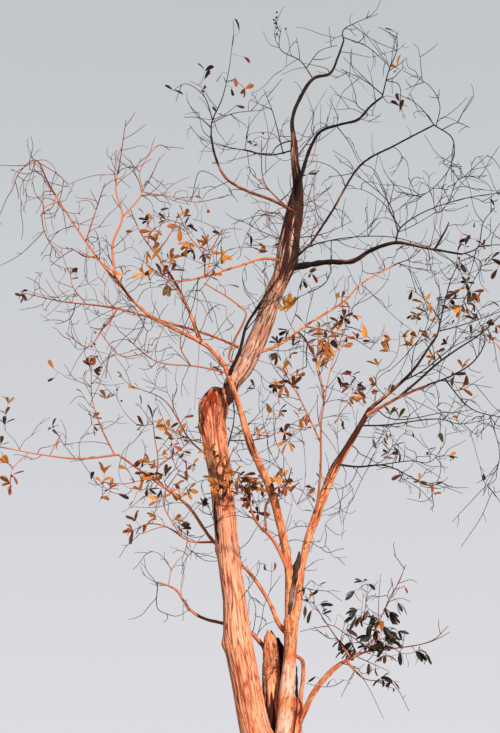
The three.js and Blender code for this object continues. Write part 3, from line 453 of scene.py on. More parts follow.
def knob_shape(corners, line, angle, values):
    """The pollard knob: broad lumps swell where the stem is thickest near its head, wavy clefts
    run down it, its old cut face is darker with its scar, and its west side, away from the
    light, is darker with painted shade; folds streak both. Burls stand out of the stem lower
    down. Each of these is a bell-shaped share of the height, and a burl and the slit under the
    cut are one of the angle too. BURLS holds rise, height and angle."""

    def bell(at, reach, spots):
        return np.exp(-(((spots - at) / reach) ** 2))

    height = line["at"][:, 2:]
    outwards = unit(corners - line["at"][:, None, :])
    near_head = bell(KNOB_HIGH, KNOB_REACH, height)
    flat = corners.reshape(-1, 3)
    lumps = ripple(flat, (190, 190, 260), 61).reshape(corners.shape[:2])
    folds = ripple(flat, (80, 80, 420), 62).reshape(corners.shape[:2])
    corners = corners + outwards * (near_head * (22 * lumps + 9 * folds))[..., None]
    for rise, at_height, at_angle in BURLS:
        turn = np.angle(np.exp(1j * (angle - at_angle)))
        burl = rise * np.exp(-(((height - at_height) / BURL_REACH) ** 2) - (turn / BURL_WIDE) ** 2)
        corners = corners + outwards * burl[..., None]
    facing = np.cos(angle + math.pi / 2 + 0.1)
    scar = bell(SCAR_HIGH, SCAR_REACH, height) * np.clip(facing * 1.6 + 0.3, 0, 1)
    # The west side, away from the light, takes painted shade.
    west = bell(WEST_SHADE_HIGH, WEST_SHADE_REACH, height) * np.clip(-np.cos(angle) * 0.9 + 0.1, 0, 1)
    scar_and_west_shade = scar * (0.34 + 0.5 * folds) + west * (0.30 + 0.35 * folds)
    values["shade_and_age"] = np.clip(values["shade_and_age"] + scar_and_west_shade.ravel(), 0, 1)
    wavy = ripple(flat, (80, 80, 480), 63).reshape(corners.shape[:2])
    cleft = np.exp(-((wavy / CLEFT_WIDE) ** 2)) * bell(CLEFT_HIGH, CLEFT_REACH, height)
    corners = corners - outwards * (cleft * CLEFT_DEEP)[..., None]
    slit = np.exp(-(((height - SLIT_HIGH) / SLIT_REACH) ** 2) - ((angle - SLIT_AT) / SLIT_WIDE) ** 2)
    deep_fold = near_head * np.clip(-folds - 0.55, 0, 1) * 1.1
    deep = np.maximum(slit + deep_fold, cleft)
    values["furrow"] = np.clip(np.maximum(values["furrow"], deep.ravel()), 0, 1)
    return corners


grow_limb(
    "trunk",
    [
        (0, 0, 0, 950, 830), (0, 0, 130, 820, 690), (0, 0, 420, 700, 580),
        (-10, 0, 1000, 645, 520), (-20, 0, 1900, 630, 480), (-40, 0, 2600, 660, 470),
        (-130, 0, 2900, 500, 420), (-200, 0, 3090, 340, 340), (-320, 0, 3680, 322, 322),
        (-410, 0, 4140, 320, 320), (-450, 0, 4600, 262, 262), (-530, 0, 5240, 262, 262),
        (-610, 0, 6010, 258, 258), (-690, 0, 6530, 300, 300), (-705, 0, 6840, 368, 350),
        (-670, 0, 7030, 300, 290), (-655, 0, 7130, 170, 170),
    ],
    furrowed, steps=34, around=132, ring_gap=16, furrow=(95, 900, 8.0), line_wide=0.26,
    lumps=0.035, flare=True, shape=knob_shape,
    pale=(0, 0, 0, 0.2, 0.2, 0.1, 0, 0, 0.1, 0.2, 0.3, 0.3, 0, 0, 0, 0, 0),
    dark=(0.1, 0.1, 0, 0, 0, 0, 0, 0, 0.05, 0.1, 0, 0, 0.2, 0.2, 0.25, 0.3, 0.2),
)

# The broken snag behind the fork: a dead stem, grey-red and dry, broken off unevenly. A rotten
# hollow runs down its east side, its dark inside painted as black shade, and the stub of a limb
# stands out of its west side. A dead branch off the main stem is of the same dry wood, and a slit
# of a hollow in the main stem is painted black with shade in the same way.
dead_wood = bark_material(
    "dry_dead_wood", (0.84, 0.35, 0.18), (0.74, 0.22, 0.10), (0.90, 0.54, 0.38), (0.12, 0.018, 0.010),
    worn_share=0.5, crack_share=0.9, crack_scale=32, bump=0.014, shade_and_age=(0.018, 0.007, 0.006),
)

# Painted shade: the black inside of each hollow is a black tube laid in the bark.
hollow_shade_bark = bark_material(
    "painted_hollow_shade_bark", (0.020, 0.009, 0.008), (0.010, 0.006, 0.006), (0.06, 0.025, 0.02),
    (0.005, 0.004, 0.004), worn_share=0.4, crack_share=0.7, crack_scale=34, bump=0.010,
)


def splintered(corners, line, angle, values):
    """The torn head: each side is drawn up or down by three sine waves round the stem, which
    fade out below the head. The east side blackens upwards, where the hollow runs down it."""
    near_head = np.clip((line["share"] - 0.86) / 0.14, 0, 1)[:, None]
    teeth = 20 * np.sin(3 * angle + 0.6) + 16 * np.sin(7 * angle + 2.1) + 9 * np.sin(11 * angle)
    east = np.clip(np.cos(angle) * 1.6 - 0.5, 0, 1) * np.clip(line["share"] * 2 - 0.7, 0, 1)[:, None]
    values["shade_and_age"] = np.maximum(values["shade_and_age"], (east * 0.9).ravel())
    return corners + line["way"][:, None, :] * (near_head * (teeth - 12))[..., None]


grow_limb(
    "snag",
    [
        (0, 90, 2500, 190), (-20, 110, 3100, 190), (-30, 110, 3810, 196), (-34, 110, 4050, 184),
        (-42, 110, 4180, 136), (-48, 110, 4250, 64),
    ],
    dead_wood, on="trunk", around=48, ring_gap=14, furrow=(30, 300, 7.0), shape=splintered,
    dark=(1, 0.8, 0.3, 0, 0, 0),
)
grow_limb(
    "snag_hollow",
    [
        (44, 130, 4180, 44), (78, 130, 4040, 92), (100, 120, 3868, 100), (89, 120, 3585, 84),
        (59, 120, 3249, 90),
    ],
    hollow_shade_bark, around=20, ring_gap=16, furrow=(30, 200, 4.0), lumps=0.15, node="snag",
)
grow_limb(
    "bole_hollow",
    [
        (-672, -78, 5839, 16), (-672, -84, 5648, 58), (-660, -84, 5458, 62), (-636, -78, 5233, 16),
    ],
    hollow_shade_bark, around=16, ring_gap=16, furrow=(30, 200, 3.0), lumps=0.2, node="trunk",
)
grow_limb(
    "snag_stub",
    [
        (-70, 105, 4010, 84), (-125, 95, 4090, 64), (-190, 70, 4160, 60), (-245, 50, 4215, 54),
        (-262, 40, 4245, 34),
    ],
    dead_wood, around=16, ring_gap=14, furrow=(24, 120, 3.0), lumps=0.15,
    dark=(1, 1, 0.5, 0.42, 0.5), node="snag",
)
grow_limb(
    "dead_branch",
    [
        (-430, 0, 4300, 56), (-800, -100, 4370, 45), (-960, -200, 4460, 42),
        (-1120, -300, 4670, 36), (-1320, -400, 4740, 22),
    ],
    dead_wood, on="trunk", around=16, ring_gap=20, furrow=(24, 160, 2.0), lumps=0.12,
    dark=(1.0, 0.9, 0.1, 0, 0.1),
)

# The east stem and the two limbs that it divides into. Their bark is young and smooth: warm
# orange-brown, with pale pink worn patches low down and few shallow cracks. In the fork a web
# of bark joins the two, with a groove down its middle of grey bark, darkened by painted shade.
smooth_bark = bark_material(
    "smooth_bark", (0.84, 0.35, 0.17), (0.66, 0.19, 0.08), (0.90, 0.54, 0.43), (0.12, 0.022, 0.012),
    worn_share=0.25, crack_share=0.7, crack_scale=30, bump=0.008, shade_and_age=(0.040, 0.011, 0.008),
)
grow_limb(
    "east_stem",
    [
        (40, -50, 2450, 210), (110, -100, 3090, 190), (140, -100, 3450, 180),
        (180, -100, 3900, 140), (190, -100, 4150, 152), (195, -100, 4330, 176),
        (200, -100, 4400, 130),
    ],
    smooth_bark, on="trunk", around=56, ring_gap=16, furrow=(60, 300, 3.5),
    pale=(0.8,) * 4 + (0.95,) * 3 + (0,) * 2 + (0.9,) * 3 + (0.1,) + (0,) * 12,
)
grow_limb(
    "inner_west_stem",
    [
        (185, -100, 4200, 110), (178, -100, 4520, 102), (180, -120, 4860, 98),
        (120, -160, 5260, 100), (-30, -240, 5840, 98), (-260, -300, 6350, 92),
        (-400, -340, 6830, 76), (-560, -360, 7300, 70),
    ],
    smooth_bark, on="east_stem", around=32, ring_gap=18, furrow=(50, 260, 2.5),
    dark=(0.3, 0, 0, 0, 0.1, 0.5, 0.1, 0.5),
)
grow_limb(
    "east_bough",
    [
        (215, -90, 4220, 100), (272, -80, 4470, 92), (330, -50, 4940, 82), (400, -30, 5290, 93),
        (510, 0, 5590, 105), (710, 50, 6120, 105), (870, 80, 6400, 88), (1170, 100, 6910, 70),
    ],
    smooth_bark, on="east_stem", around=32, ring_gap=18, furrow=(50, 260, 2.5),
    dark=(0.35, 0, 0, 0.05, 0.3, 0.54, 0.66, 0.8),
)
# The groove's bark is grey bark painted dark with the shade of the crotch.
grey_groove_shade_bark = bark_material(
    "grey_fork_shade_bark", (0.090, 0.055, 0.045), (0.035, 0.020, 0.018), (0.30, 0.21, 0.18),
    (0.010, 0.006, 0.006), worn_share=1.0, crack_share=0.7, crack_scale=34, bump=0.010,
)
grow_limb(
    "fork_web",
    [
        (175, -95, 4327, 66), (200, -100, 4579, 84), (240, -100, 4810, 112),
        (275, -92, 4960, 112), (290, -90, 5060, 50),
    ],
    smooth_bark, around=20, ring_gap=16, furrow=(40, 200, 3.0), dark=(0.1, 0.3, 0.1),
    node="east_bough",
)
grow_limb(
    "fork_groove",
    [
        (172, -138, 4290, 24), (198, -144, 4555, 70), (240, -146, 4790, 66),
        (278, -136, 4998, 76), (300, -112, 5138, 24),
    ],
    grey_groove_shade_bark, around=16, ring_gap=16, furrow=(40, 200, 4.0), lumps=0.22,
    node="east_bough",
)

# The upper trunk, which took over when the main stem was cut, and its two leaders. Its bark is
# grey-pink low down, in fine scales, and painted shade makes it nearly black in the crown.
# The bark of the leaders and of the boughs high up and in the east: a darker bark in fine scales, painted
# darker still with the shade that these limbs stand in.
shaded_scaly_bark = bark_material(
    "shaded_scaly_dark_bark", (0.52, 0.20, 0.11), (0.30, 0.10, 0.06), (0.62, 0.36, 0.26), (0.03, 0.010, 0.008),
    worn_share=0.5, crack_share=0.7, crack_scale=32, bump=0.008, shade_and_age=(0.013, 0.008, 0.008),
)
upper_trunk_bark = bark_material(
    "upper_trunk_bark", (0.68, 0.40, 0.31), (0.56, 0.26, 0.18), (0.78, 0.58, 0.50), (0.11, 0.030, 0.020),
    worn_share=0.7, crack_share=1.0, crack_scale=30, bump=0.012, shade_and_age=(0.017, 0.010, 0.009),
)
grow_limb(
    "upper_trunk",
    [
        (-555, -70, 6830, 96), (-540, -20, 7010, 150), (-478, 100, 7230, 195),
        (-350, 100, 7420, 228), (-190, 80, 7770, 240), (-30, 50, 8210, 208), (120, 20, 8590, 220),
        (175, 0, 8780, 262), (250, 0, 9240, 236), (290, 0, 9480, 194), (325, 0, 9740, 128),
        (290, 0, 10110, 100), (280, 0, 10370, 86),
    ],
    upper_trunk_bark, on="trunk", around=72, ring_gap=15, furrow=(70, 500, 5.0),
    line_wide=0.22, lumps=0.07,
    dark=(1, 1, 0.3, 0, 0, 0.2, 0.50, 0.62, 0.76, 0.82, 0.82, 0.56, 0.7),
)
grow_limb(
    "top_leader",
    [
        (280, 0, 10370, 80), (265, 30, 10680, 58), (380, 60, 11020, 60), (550, 100, 11290, 56),
        (750, 140, 11370, 48), (860, 170, 11620, 38), (940, 200, 11870, 32),
    ],
    shaded_scaly_bark, on="upper_trunk", tip=True, around=18, furrow=(30, 160, 2.0), lumps=0.1,
    dark=(0.72, 0.72, 0.8),
)
grow_limb(
    "second_leader",
    [
        (300, -60, 9350, 74), (360, -200, 9790, 62), (480, -300, 10150, 55),
        (600, -400, 10310, 48), (810, -500, 10350, 43), (1050, -620, 10370, 42),
        (1200, -700, 10510, 36), (1330, -800, 10580, 30),
    ],
    shaded_scaly_bark, on="upper_trunk", around=18, furrow=(30, 160, 2.0), lumps=0.1,
    dark=(0.8, 0.8, 0.85),
)

# The boughs of the west side. They leave the stems at shallow angles and wander as they rise,
# each one tapering limb under smooth orange bark, with painted shade darker where it is high up.
grow_limb(
    "upper_west_bough",
    [
        (270, 20, 9430, 60), (10, 200, 9650, 52), (-300, 500, 9900, 50), (-580, 800, 10210, 48),
        (-720, 1000, 10580, 44), (-790, 1100, 10950, 38),
    ],
    shaded_scaly_bark, on="upper_trunk", around=16, lumps=0.1, dark=(0.5, 0.3, 0.4, 0.7),
)
grow_limb(
    "mid_west_bough",
    [
        (165, -20, 8740, 52), (-90, -350, 8660, 44), (-450, -750, 8400, 38),
        (-750, -1100, 8170, 34),
    ],
    smooth_bark, on="upper_trunk", around=16, lumps=0.1, dark=(0.2, 0.3),
)
grow_limb(
    "west_bough",
    [
        (-560, -360, 7300, 70), (-760, -450, 7510, 65), (-920, -550, 7580, 60),
        (-1180, -750, 7650, 54), (-1450, -950, 7750, 50), (-1660, -1100, 7920, 46),
        (-1810, -1300, 8100, 42),
    ],
    smooth_bark, on="inner_west_stem", tip=True, around=20, lumps=0.08,
    dark=(0.5, 0.42, 0.4, 0.42, 0.52),
)
grow_limb(
    "north_west_bough",
    [
        (-850, -500, 7560, 58), (-990, -600, 7910, 49), (-1130, -550, 8230, 45),
        (-1310, -400, 8570, 38), (-1390, -300, 8730, 35),
    ],
    smooth_bark, on="west_bough", around=18, lumps=0.1, dark=(0.45, 0.5, 0.4),
)
grow_limb(
    "arch_bough",
    [
        (-530, -355, 7200, 60), (-390, -420, 7480, 52), (-310, -450, 7780, 47),
        (-130, -500, 8050, 42), (180, -600, 8470, 42), (450, -750, 8700, 40),
    ],
    shaded_scaly_bark, on="inner_west_stem", around=18, lumps=0.08, dark=(1.0, 1.0, 0.7, 0.42, 0.5),
)
grow_limb(
    "arch_bough_end",
    [
        (450, -750, 8700, 40), (690, -950, 9020, 36), (1030, -1200, 9510, 34),
        (1420, -1400, 9670, 29), (1850, -1600, 9830, 24),
    ],
    shaded_scaly_bark, on="arch_bough", tip=True, around=14, lumps=0.1, dark=(0.5, 0.7),
)
grow_limb(
    "west_back_bough",
    [
        (-370, -430, 7500, 44), (-670, -100, 7740, 42), (-1000, 200, 7950, 42),
        (-1380, 400, 8130, 40), (-1900, 600, 8350, 38),
    ],
    smooth_bark, on="arch_bough", around=16, lumps=0.1, dark=(0.2, 0.35),
)
grow_limb(
    "low_west_bough",
    [
        (170, -90, 4180, 74), (80, -10, 4290, 66), (-80, 160, 4660, 58), (-350, 260, 5040, 53),
        (-700, 330, 5340, 53), (-1020, 500, 5810, 48), (-1440, 700, 6170, 39),
        (-1900, 900, 6540, 36),
    ],
    smooth_bark, on="east_stem", around=20, lumps=0.08, dark=(0.2, 0, 0.3, 0.2),
)

# The boughs of the east side and the back. The east ones catch little sun and look dark, and
# two low limbs leave the bole by the fork: one turns a sharp elbow, one bears the low foliage.
grow_limb(
    "right_bough",
    [
        (150, 0, 8690, 110), (340, -40, 8680, 92), (640, -200, 8670, 73), (960, -450, 8590, 70),
        (1170, -600, 8670, 62), (1450, -750, 8710, 53), (1760, -950, 8570, 42),
        (2170, -1200, 8390, 30),
    ],
    shaded_scaly_bark, on="upper_trunk", around=22, lumps=0.1, dark=(0.74, 0.74, 0.6, 0.66),
)
grow_limb(
    "right_back_bough",
    [
        (-240, 90, 7560, 58), (50, 200, 7730, 48), (430, 500, 8100, 38), (910, 800, 8510, 38),
        (1180, 1000, 8840, 33), (1650, 1300, 9210, 26),
    ],
    smooth_bark, on="upper_trunk", around=16, lumps=0.1, dark=(0, 0.2, 0.5),
)
grow_limb(
    "north_east_bough",
    [
        (1170, 100, 6910, 64), (1440, 300, 7180, 50), (1730, 500, 7500, 48), (1960, 750, 7870, 40),
        (2100, 900, 8100, 38),
    ],
    shaded_scaly_bark, on="east_bough", tip=True, around=18, lumps=0.08, dark=(0.45, 0.9),
)
grow_limb(
    "east_low_bough",
    [
        (1120, 90, 6820, 60), (1480, -200, 6960, 47), (1790, -600, 7000, 40),
    ],
    smooth_bark, on="east_bough", around=16, lumps=0.1, dark=(0.3, 0.5),
)
grow_limb(
    "back_bough",
    [
        (-60, 60, 8130, 66), (10, 450, 8550, 56), (150, 1000, 8950, 46), (290, 1500, 9500, 36),
    ],
    shaded_scaly_bark, on="upper_trunk", around=18, lumps=0.08, dark=(0.7, 0.9),
)
grow_limb(
    "low_back_bough",
    [
        (-560, 0, 5560, 70), (-600, 420, 5880, 56), (-640, 950, 6250, 46), (-560, 1400, 6750, 36),
    ],
    smooth_bark, on="trunk", around=18, lumps=0.08, dark=(0.3, 0.6),
)
grow_limb(
    "elbow_limb",
    [
        (170, 20, 2700, 90), (275, 20, 3200, 68), (300, 20, 3460, 66), (335, 10, 3740, 58),
        (325, -25, 3900, 57), (230, -70, 3960, 50),
    ],
    smooth_bark, on="trunk", around=22, ring_gap=14, furrow=(34, 160, 3.0), lumps=0.09,
    dark=(1, 0.85, 0.3, 0, 0, 0),
)
grow_limb(
    "right_low_bough",
    [
        (180, -110, 2650, 110), (285, -125, 3200, 76), (430, -130, 3500, 76),
        (630, -160, 3750, 70), (760, -200, 3850, 60),
    ],
    smooth_bark, on="trunk", around=24, ring_gap=16, furrow=(36, 180, 2.5), lumps=0.07,
    dark=(1, 0.75, 0.1, 0, 0.1, 0.6),
)

knotty = bark_material(
    "knotty_fork_bark", (0.80, 0.30, 0.15), (0.60, 0.16, 0.07), (0.86, 0.46, 0.32), (0.05, 0.010, 0.006),
    worn_share=0.4, crack_share=0.9, crack_scale=40, bump=0.014, shade_and_age=(0.16, 0.022, 0.010),
)
grow_limb(
    "fork_knots",
    [
        (256, -100, 3480, 44), (266, -110, 3400, 100), (266, -115, 3290, 134), (256, -120, 3170, 160),
        (240, -120, 3000, 176),
    ],
    knotty, around=44, ring_gap=9, furrow=(36, 70, 12.0), lumps=0.3,
    dark=(0.56, 0.46, 0.54, 0.44, 0.5), node="right_low_bough",
)
# The elbow's hollow, painted black with shade.
grow_limb(
    "elbow_hollow",
    [
        (262, 40, 3850, 14), (262, 40, 3700, 38), (260, 40, 3560, 44), (258, 30, 3400, 50),
    ],
    hollow_shade_bark, around=16, ring_gap=16, furrow=(30, 200, 3.0), lumps=0.2,
    node="elbow_limb",
)

# The stems of the twig masses. Each leaves a bough's tip or side with a few side stems of its
# own. Those at the top are painted dark with shade, and those lower down are painted warm and
# sunlit where the sun reaches them.
STEM_PARTS = 1.34
SIDE_FOOT = 0.8
masses = {}


def twig_mass(name, stem, on, thick, reach, spray="bare", sides=(), tip=False, leafy=0.0, every=1.0,
              droop=0.0, tone="dark", lit=0.7, slim=1.0, fine=1.0):
    """One mass: its stem and side stems as centre lines, each side stem drawn onto the nearest
    line of the mass before it. The rule for side twigs reads reach, spray, leafy, every and
    droop. A warm mass is lit up to the share lit of its stems, slim is how much thinner they
    are than their solids from SLIM_BY on, and fine the share of finer shoots that they keep."""
    places, first_way = seated(stem, limb_lines[on], tip)
    traced.extend(curve_at(np.array(rows, float), TRACE) for rows in (stem, *sides))

    def line_of(spots, ends, way=None):
        parts = int((len(spots) - 1) * STEM_PARTS + 0.5)
        line = centre_line(spots, parts * FINE_PARTS, way)
        line["thick"] = ends
        return line

    lines = [line_of(places, thick, first_way)]
    for rows in sides:
        spots = np.array(rows, float)
        gaps = [np.linalg.norm(line["at"] - spots[0], axis=1) for line in lines]
        nearest = int(np.argmin([gap.min() for gap in gaps]))
        root, station = lines[nearest], int(np.argmin(gaps[nearest]))
        spots[0] = root["at"][station]
        foot = between(root["thick"], root["share"][station]) * SIDE_FOOT
        lines.append(line_of(spots, [foot, thick[1]]))
    masses[name] = {"lines": lines, "reach": reach, "leafy": leafy, "every": every, "droop": droop,
                    "spray": spray, "tone": tone, "lit": lit, "slim": slim, "fine": fine}


twig_mass(
    "top_twigs", on="top_leader", thick=(30, 12), reach=380, tip=True,
    stem=[(940, 200, 11870), (930, 200, 12010), (1080, 260, 12150), (1410, 400, 12370)],
    sides=[[(935, 200, 11930), (1220, 90, 11740), (1490, -100, 11360)],
           [(1060, 240, 12140), (1340, 420, 12000), (1690, 700, 11990)]],
)
twig_mass(
    "top_west_twigs", on="top_leader", thick=(26, 12), reach=360,
    stem=[(540, 100, 11280), (370, 0, 11480), (110, -150, 11570), (120, -350, 11760)],
    sides=[[(450, 60, 11400), (640, 300, 11780), (870, 450, 11940)]],
)
twig_mass(
    "second_tip_twigs", on="second_leader", thick=(28, 12), reach=360, tip=True,
    leafy=0.35,
    stem=[(1330, -800, 10580), (1400, -950, 10840), (1490, -1150, 11030), (1480, -1300, 11170)],
    sides=[[(1390, -900, 10760), (1540, -800, 10740), (1550, -700, 10430)],
           [(1340, -820, 10600), (1090, -1200, 10600), (800, -1500, 10590)]],
)
twig_mass(
    "curl_twigs", on="arch_bough_end", thick=(24, 10), reach=420, tip=True, droop=0.2,
    stem=[(1850, -1600, 9830), (2040, -1700, 9620), (1990, -1850, 9210), (1740, -2000, 8850),
          (1430, -2100, 8630)],
    sides=[[(1870, -1600, 9820), (1920, -1640, 10050), (1820, -1600, 10320), (1530, -1500, 10570)],
           [(1940, -1640, 9780), (2080, -1800, 9760), (2190, -2100, 9560)],
           [(1865, -1600, 9825), (1680, -1900, 9890), (1490, -2200, 9890)]],
)
twig_mass(
    "far_east_twigs", on="right_bough", thick=(34, 10), reach=430,
    stem=[(1450, -750, 8710), (1490, -800, 8850), (1730, -900, 9010), (2220, -1000, 9160),
          (2720, -1100, 9210)],
    sides=[[(1480, -790, 8830), (1370, -900, 9150), (1100, -950, 9400), (880, -1000, 9530)],
           [(2060, -960, 9120), (2160, -1200, 9320), (2450, -1500, 9240)]],
)
twig_mass(
    "right_tip_twigs", on="right_bough", thick=(28, 10), reach=390, spray="green", tip=True, leafy=0.5,
    stem=[(2170, -1200, 8390), (2330, -1340, 8420), (2380, -1500, 8660), (2490, -1700, 8760)],
    sides=[[(2200, -1220, 8395), (2350, -1400, 8220), (2190, -1700, 7840), (2050, -1900, 7530)],
           [(2330, -1340, 8420), (2550, -1600, 8350), (2640, -1800, 8190)]],
)
twig_mass(
    "crossing_twigs", on="arch_bough", thick=(36, 12), reach=420,
    stem=[(-260, -460, 7880), (-150, -600, 8010), (340, -930, 8530), (650, -1170, 8570),
          (1280, -1600, 8450), (1720, -1900, 8210)],
    sides=[[(340, -930, 8530), (190, -1300, 8680), (50, -1650, 8750)],
           [(650, -1170, 8570), (590, -1500, 7950), (250, -1700, 7680)]],
)
twig_mass(
    "upper_west_twigs", on="upper_west_bough", thick=(36, 10), reach=400, spray="amber", tip=True,
    leafy=0.35,
    stem=[(-790, 1100, 10950), (-780, 1150, 11180), (-650, 1180, 11520), (-560, 1180, 11940),
          (-500, 1200, 12480)],
    sides=[[(-770, 1160, 11200), (-890, 1200, 11580), (-1120, 1000, 11660), (-1300, 900, 11510)],
           [(-785, 1130, 11080), (-930, 900, 11110), (-1130, 600, 10980)],
           [(-775, 1150, 11150), (-480, 1600, 11520), (-100, 1900, 11710)]],
)
twig_mass(
    "trunk_top_twigs", on="upper_trunk", thick=(34, 10), reach=420,
    stem=[(285, 0, 10250), (10, 300, 10310), (-340, 900, 10650), (-690, 1500, 11000),
          (-1000, 1900, 11300)],
    sides=[[(140, 130, 10290), (30, 500, 10980), (-90, 800, 11480)]],
)
twig_mass(
    "trunk_east_twigs", on="upper_trunk", thick=(26, 10), reach=340,
    stem=[(290, 0, 10120), (460, 300, 10480), (620, 600, 10800), (760, 900, 11000)],
)
twig_mass(
    "trunk_front_twigs", on="upper_trunk", thick=(30, 10), reach=420, tone="warm",
    stem=[(285, 0, 9400), (40, -600, 9360), (-120, -1150, 9360), (-140, -1700, 9600)],
)
twig_mass(
    "mid_west_twigs", on="mid_west_bough", thick=(32, 10), reach=350, spray="amber", tip=True,
    leafy=0.55, tone="warm",
    stem=[(-750, -1100, 8170), (-970, -1400, 8000), (-1200, -1800, 7870), (-1360, -2150, 7890)],
    sides=[[(-790, -1160, 8140), (-800, -1400, 8310), (-950, -1600, 8450), (-1080, -1800, 8660)],
           [(-770, -1130, 8150), (-710, -1050, 8500), (-600, -1000, 8770)]],
)
twig_mass(
    "north_west_twigs", on="north_west_bough", thick=(33, 10), reach=380, spray="amber", tip=True,
    leafy=0.6, tone="warm",
    stem=[(-1390, -300, 8730), (-1490, -200, 8880), (-1660, 100, 9240), (-1780, 300, 9590)],
    sides=[[(-1410, -280, 8760), (-1260, -420, 8900), (-1140, -560, 9100)]],
)
twig_mass(
    "vertical_west_twigs", on="west_bough", thick=(40, 10), reach=420, tip=True,
    tone="warm",
    stem=[(-1810, -1300, 8100), (-1850, -1300, 8460), (-1750, -1200, 8860), (-1830, -1250, 9170),
          (-1780, -1300, 9550), (-1720, -1350, 10020)],
    sides=[[(-1750, -1200, 8860), (-1540, -1050, 9210), (-1580, -900, 9550), (-1360, -700, 9990),
            (-1240, -600, 9970)],
           [(-1560, -1060, 9190), (-1280, -900, 9250), (-930, -600, 9290), (-500, -300, 9510)]],
)
twig_mass(
    "far_west_twigs", on="west_bough", thick=(36, 10), reach=420, droop=0.35, tone="warm",
    lit=0.45,
    stem=[(-1690, -1130, 7950), (-1980, -1340, 8250), (-2300, -1500, 8680), (-2550, -1650, 9060),
          (-2700, -1750, 9320), (-2870, -1800, 9150), (-2940, -1850, 8910)],
    sides=[[(-2430, -1580, 8880), (-2600, -1720, 8730), (-2550, -1820, 8390), (-2370, -1900, 8100)],
           [(-2680, -1740, 9290), (-2480, -1500, 9260), (-2370, -1400, 9180)],
           [(-2110, -1430, 8480), (-2000, -1650, 8800), (-1900, -1850, 9000)],
           [(-1990, -1400, 8330), (-2110, -1750, 8160), (-2230, -2050, 8140)]],
)
twig_mass(
    "west_back_twigs", on="west_back_bough", thick=(36, 10), reach=430, tip=True,
    leafy=0.25, tone="warm",
    stem=[(-1900, 600, 8350), (-2220, 900, 8500), (-2730, 1200, 8660), (-3290, 1500, 8890)],
    sides=[[(-1930, 640, 8370), (-2110, 500, 8040), (-2270, 400, 7780), (-2520, 200, 7900)],
           [(-2340, 1000, 8550), (-2600, 1400, 8950), (-2670, 1750, 9330)],
           [(-2120, 490, 8010), (-1890, 700, 7770), (-1510, 1000, 7910)]],
)
twig_mass(
    "junction_twigs", on="inner_west_stem", thick=(30, 10), reach=420, tone="warm",
    stem=[(-540, -358, 7240), (-850, -640, 7210), (-1340, -1240, 7100), (-1680, -1800, 7250)],
    sides=[[(-960, -780, 7180), (-1060, -1250, 7300), (-900, -1700, 7600), (-830, -2100, 7760)]],
)
twig_mass(
    "low_west_tip_twigs", on="low_west_bough", thick=(34, 10), reach=420, spray="amber", tip=True,
    leafy=0.45, tone="warm",
    stem=[(-1900, 900, 6540), (-2380, 950, 6500), (-2850, 900, 6540), (-3350, 750, 6600),
          (-3590, 700, 6610)],
    sides=[[(-1940, 900, 6535), (-2160, 1100, 6980), (-2290, 1300, 7390), (-2330, 1500, 7870)],
           [(-2990, 870, 6550), (-3180, 700, 6300), (-3180, 600, 6050)],
           [(-2750, 910, 6530), (-2710, 1150, 6750), (-2670, 1300, 6900)]],
)
twig_mass(
    "low_west_leaf_twigs", on="low_west_bough", thick=(28, 10), reach=360, spray="amber", leafy=0.75,
    tone="warm",
    stem=[(-1420, 690, 6160), (-1390, 500, 6390), (-1420, 350, 6600), (-1440, 150, 6800)],
    sides=[[(-1400, 560, 6310), (-1140, 900, 6600), (-1020, 1150, 6780)],
           [(-1410, 640, 6230), (-1740, 400, 6060), (-2040, 100, 6010)]],
)
twig_mass(
    "lower_west_twigs", on="low_west_bough", thick=(34, 10), reach=380, spray="green", leafy=0.55,
    tone="warm",
    stem=[(-690, 325, 5330), (-980, 350, 5350), (-1260, 400, 5530), (-1460, 300, 5550),
          (-1640, 100, 5430)],
    sides=[[(-1100, 370, 5420), (-1290, 0, 5770), (-1080, -350, 6060)]],
)
twig_mass(
    "trunk_leaf_twigs", on="trunk", thick=(30, 10), reach=400, spray="amber", leafy=0.45, tone="warm",
    stem=[(-640, 0, 6200), (-980, 300, 6560), (-1320, 800, 7200), (-1720, 1400, 7550)],
)
twig_mass(
    "stem_sprout_twigs", on="trunk", thick=(22, 10), reach=330, spray="green", leafy=0.85, tone="warm",
    stem=[(-560, 0, 5660), (-500, -300, 5760), (-550, -500, 6010), (-450, -650, 6250)],
)
twig_mass(
    "middle_twigs", on="inner_west_stem", thick=(62, 12), reach=380, spray="green", leafy=0.6,
    tone="warm",
    stem=[(178, -110, 4900), (-10, -350, 5230), (-200, -600, 5390), (-290, -850, 5570),
          (-400, -1100, 5800)],
    sides=[[(-80, -440, 5300), (-90, -750, 5560), (110, -1050, 5670), (190, -1300, 5850)]],
)
twig_mass(
    "sprout_twigs", on="east_bough", thick=(42, 10), reach=420, spray="amber", leafy=0.6, tone="warm",
    stem=[(500, 0, 5560), (540, -400, 6040), (540, -800, 6530), (570, -900, 6740), (430, -1250, 7210),
          (250, -1500, 7350)],
    sides=[[(560, -880, 6700), (670, -850, 7180), (900, -800, 7800)],
           [(530, -600, 6290), (300, -1000, 6710), (120, -1400, 6900)]],
)
twig_mass(
    "right_back_side_twigs", on="right_back_bough", thick=(28, 10), reach=380, spray="amber",
    leafy=0.5, tone="warm",
    stem=[(420, 490, 8090), (740, 900, 8150), (1040, 1300, 8200), (1330, 1700, 8160)],
)
twig_mass(
    "right_back_tip_twigs", on="right_back_bough", thick=(24, 10), reach=420, tip=True,
    stem=[(1650, 1300, 9210), (1880, 1600, 9410), (2080, 1900, 9680)],
    sides=[[(1680, 1330, 9230), (1960, 1400, 9170), (2190, 1500, 9180)]],
)
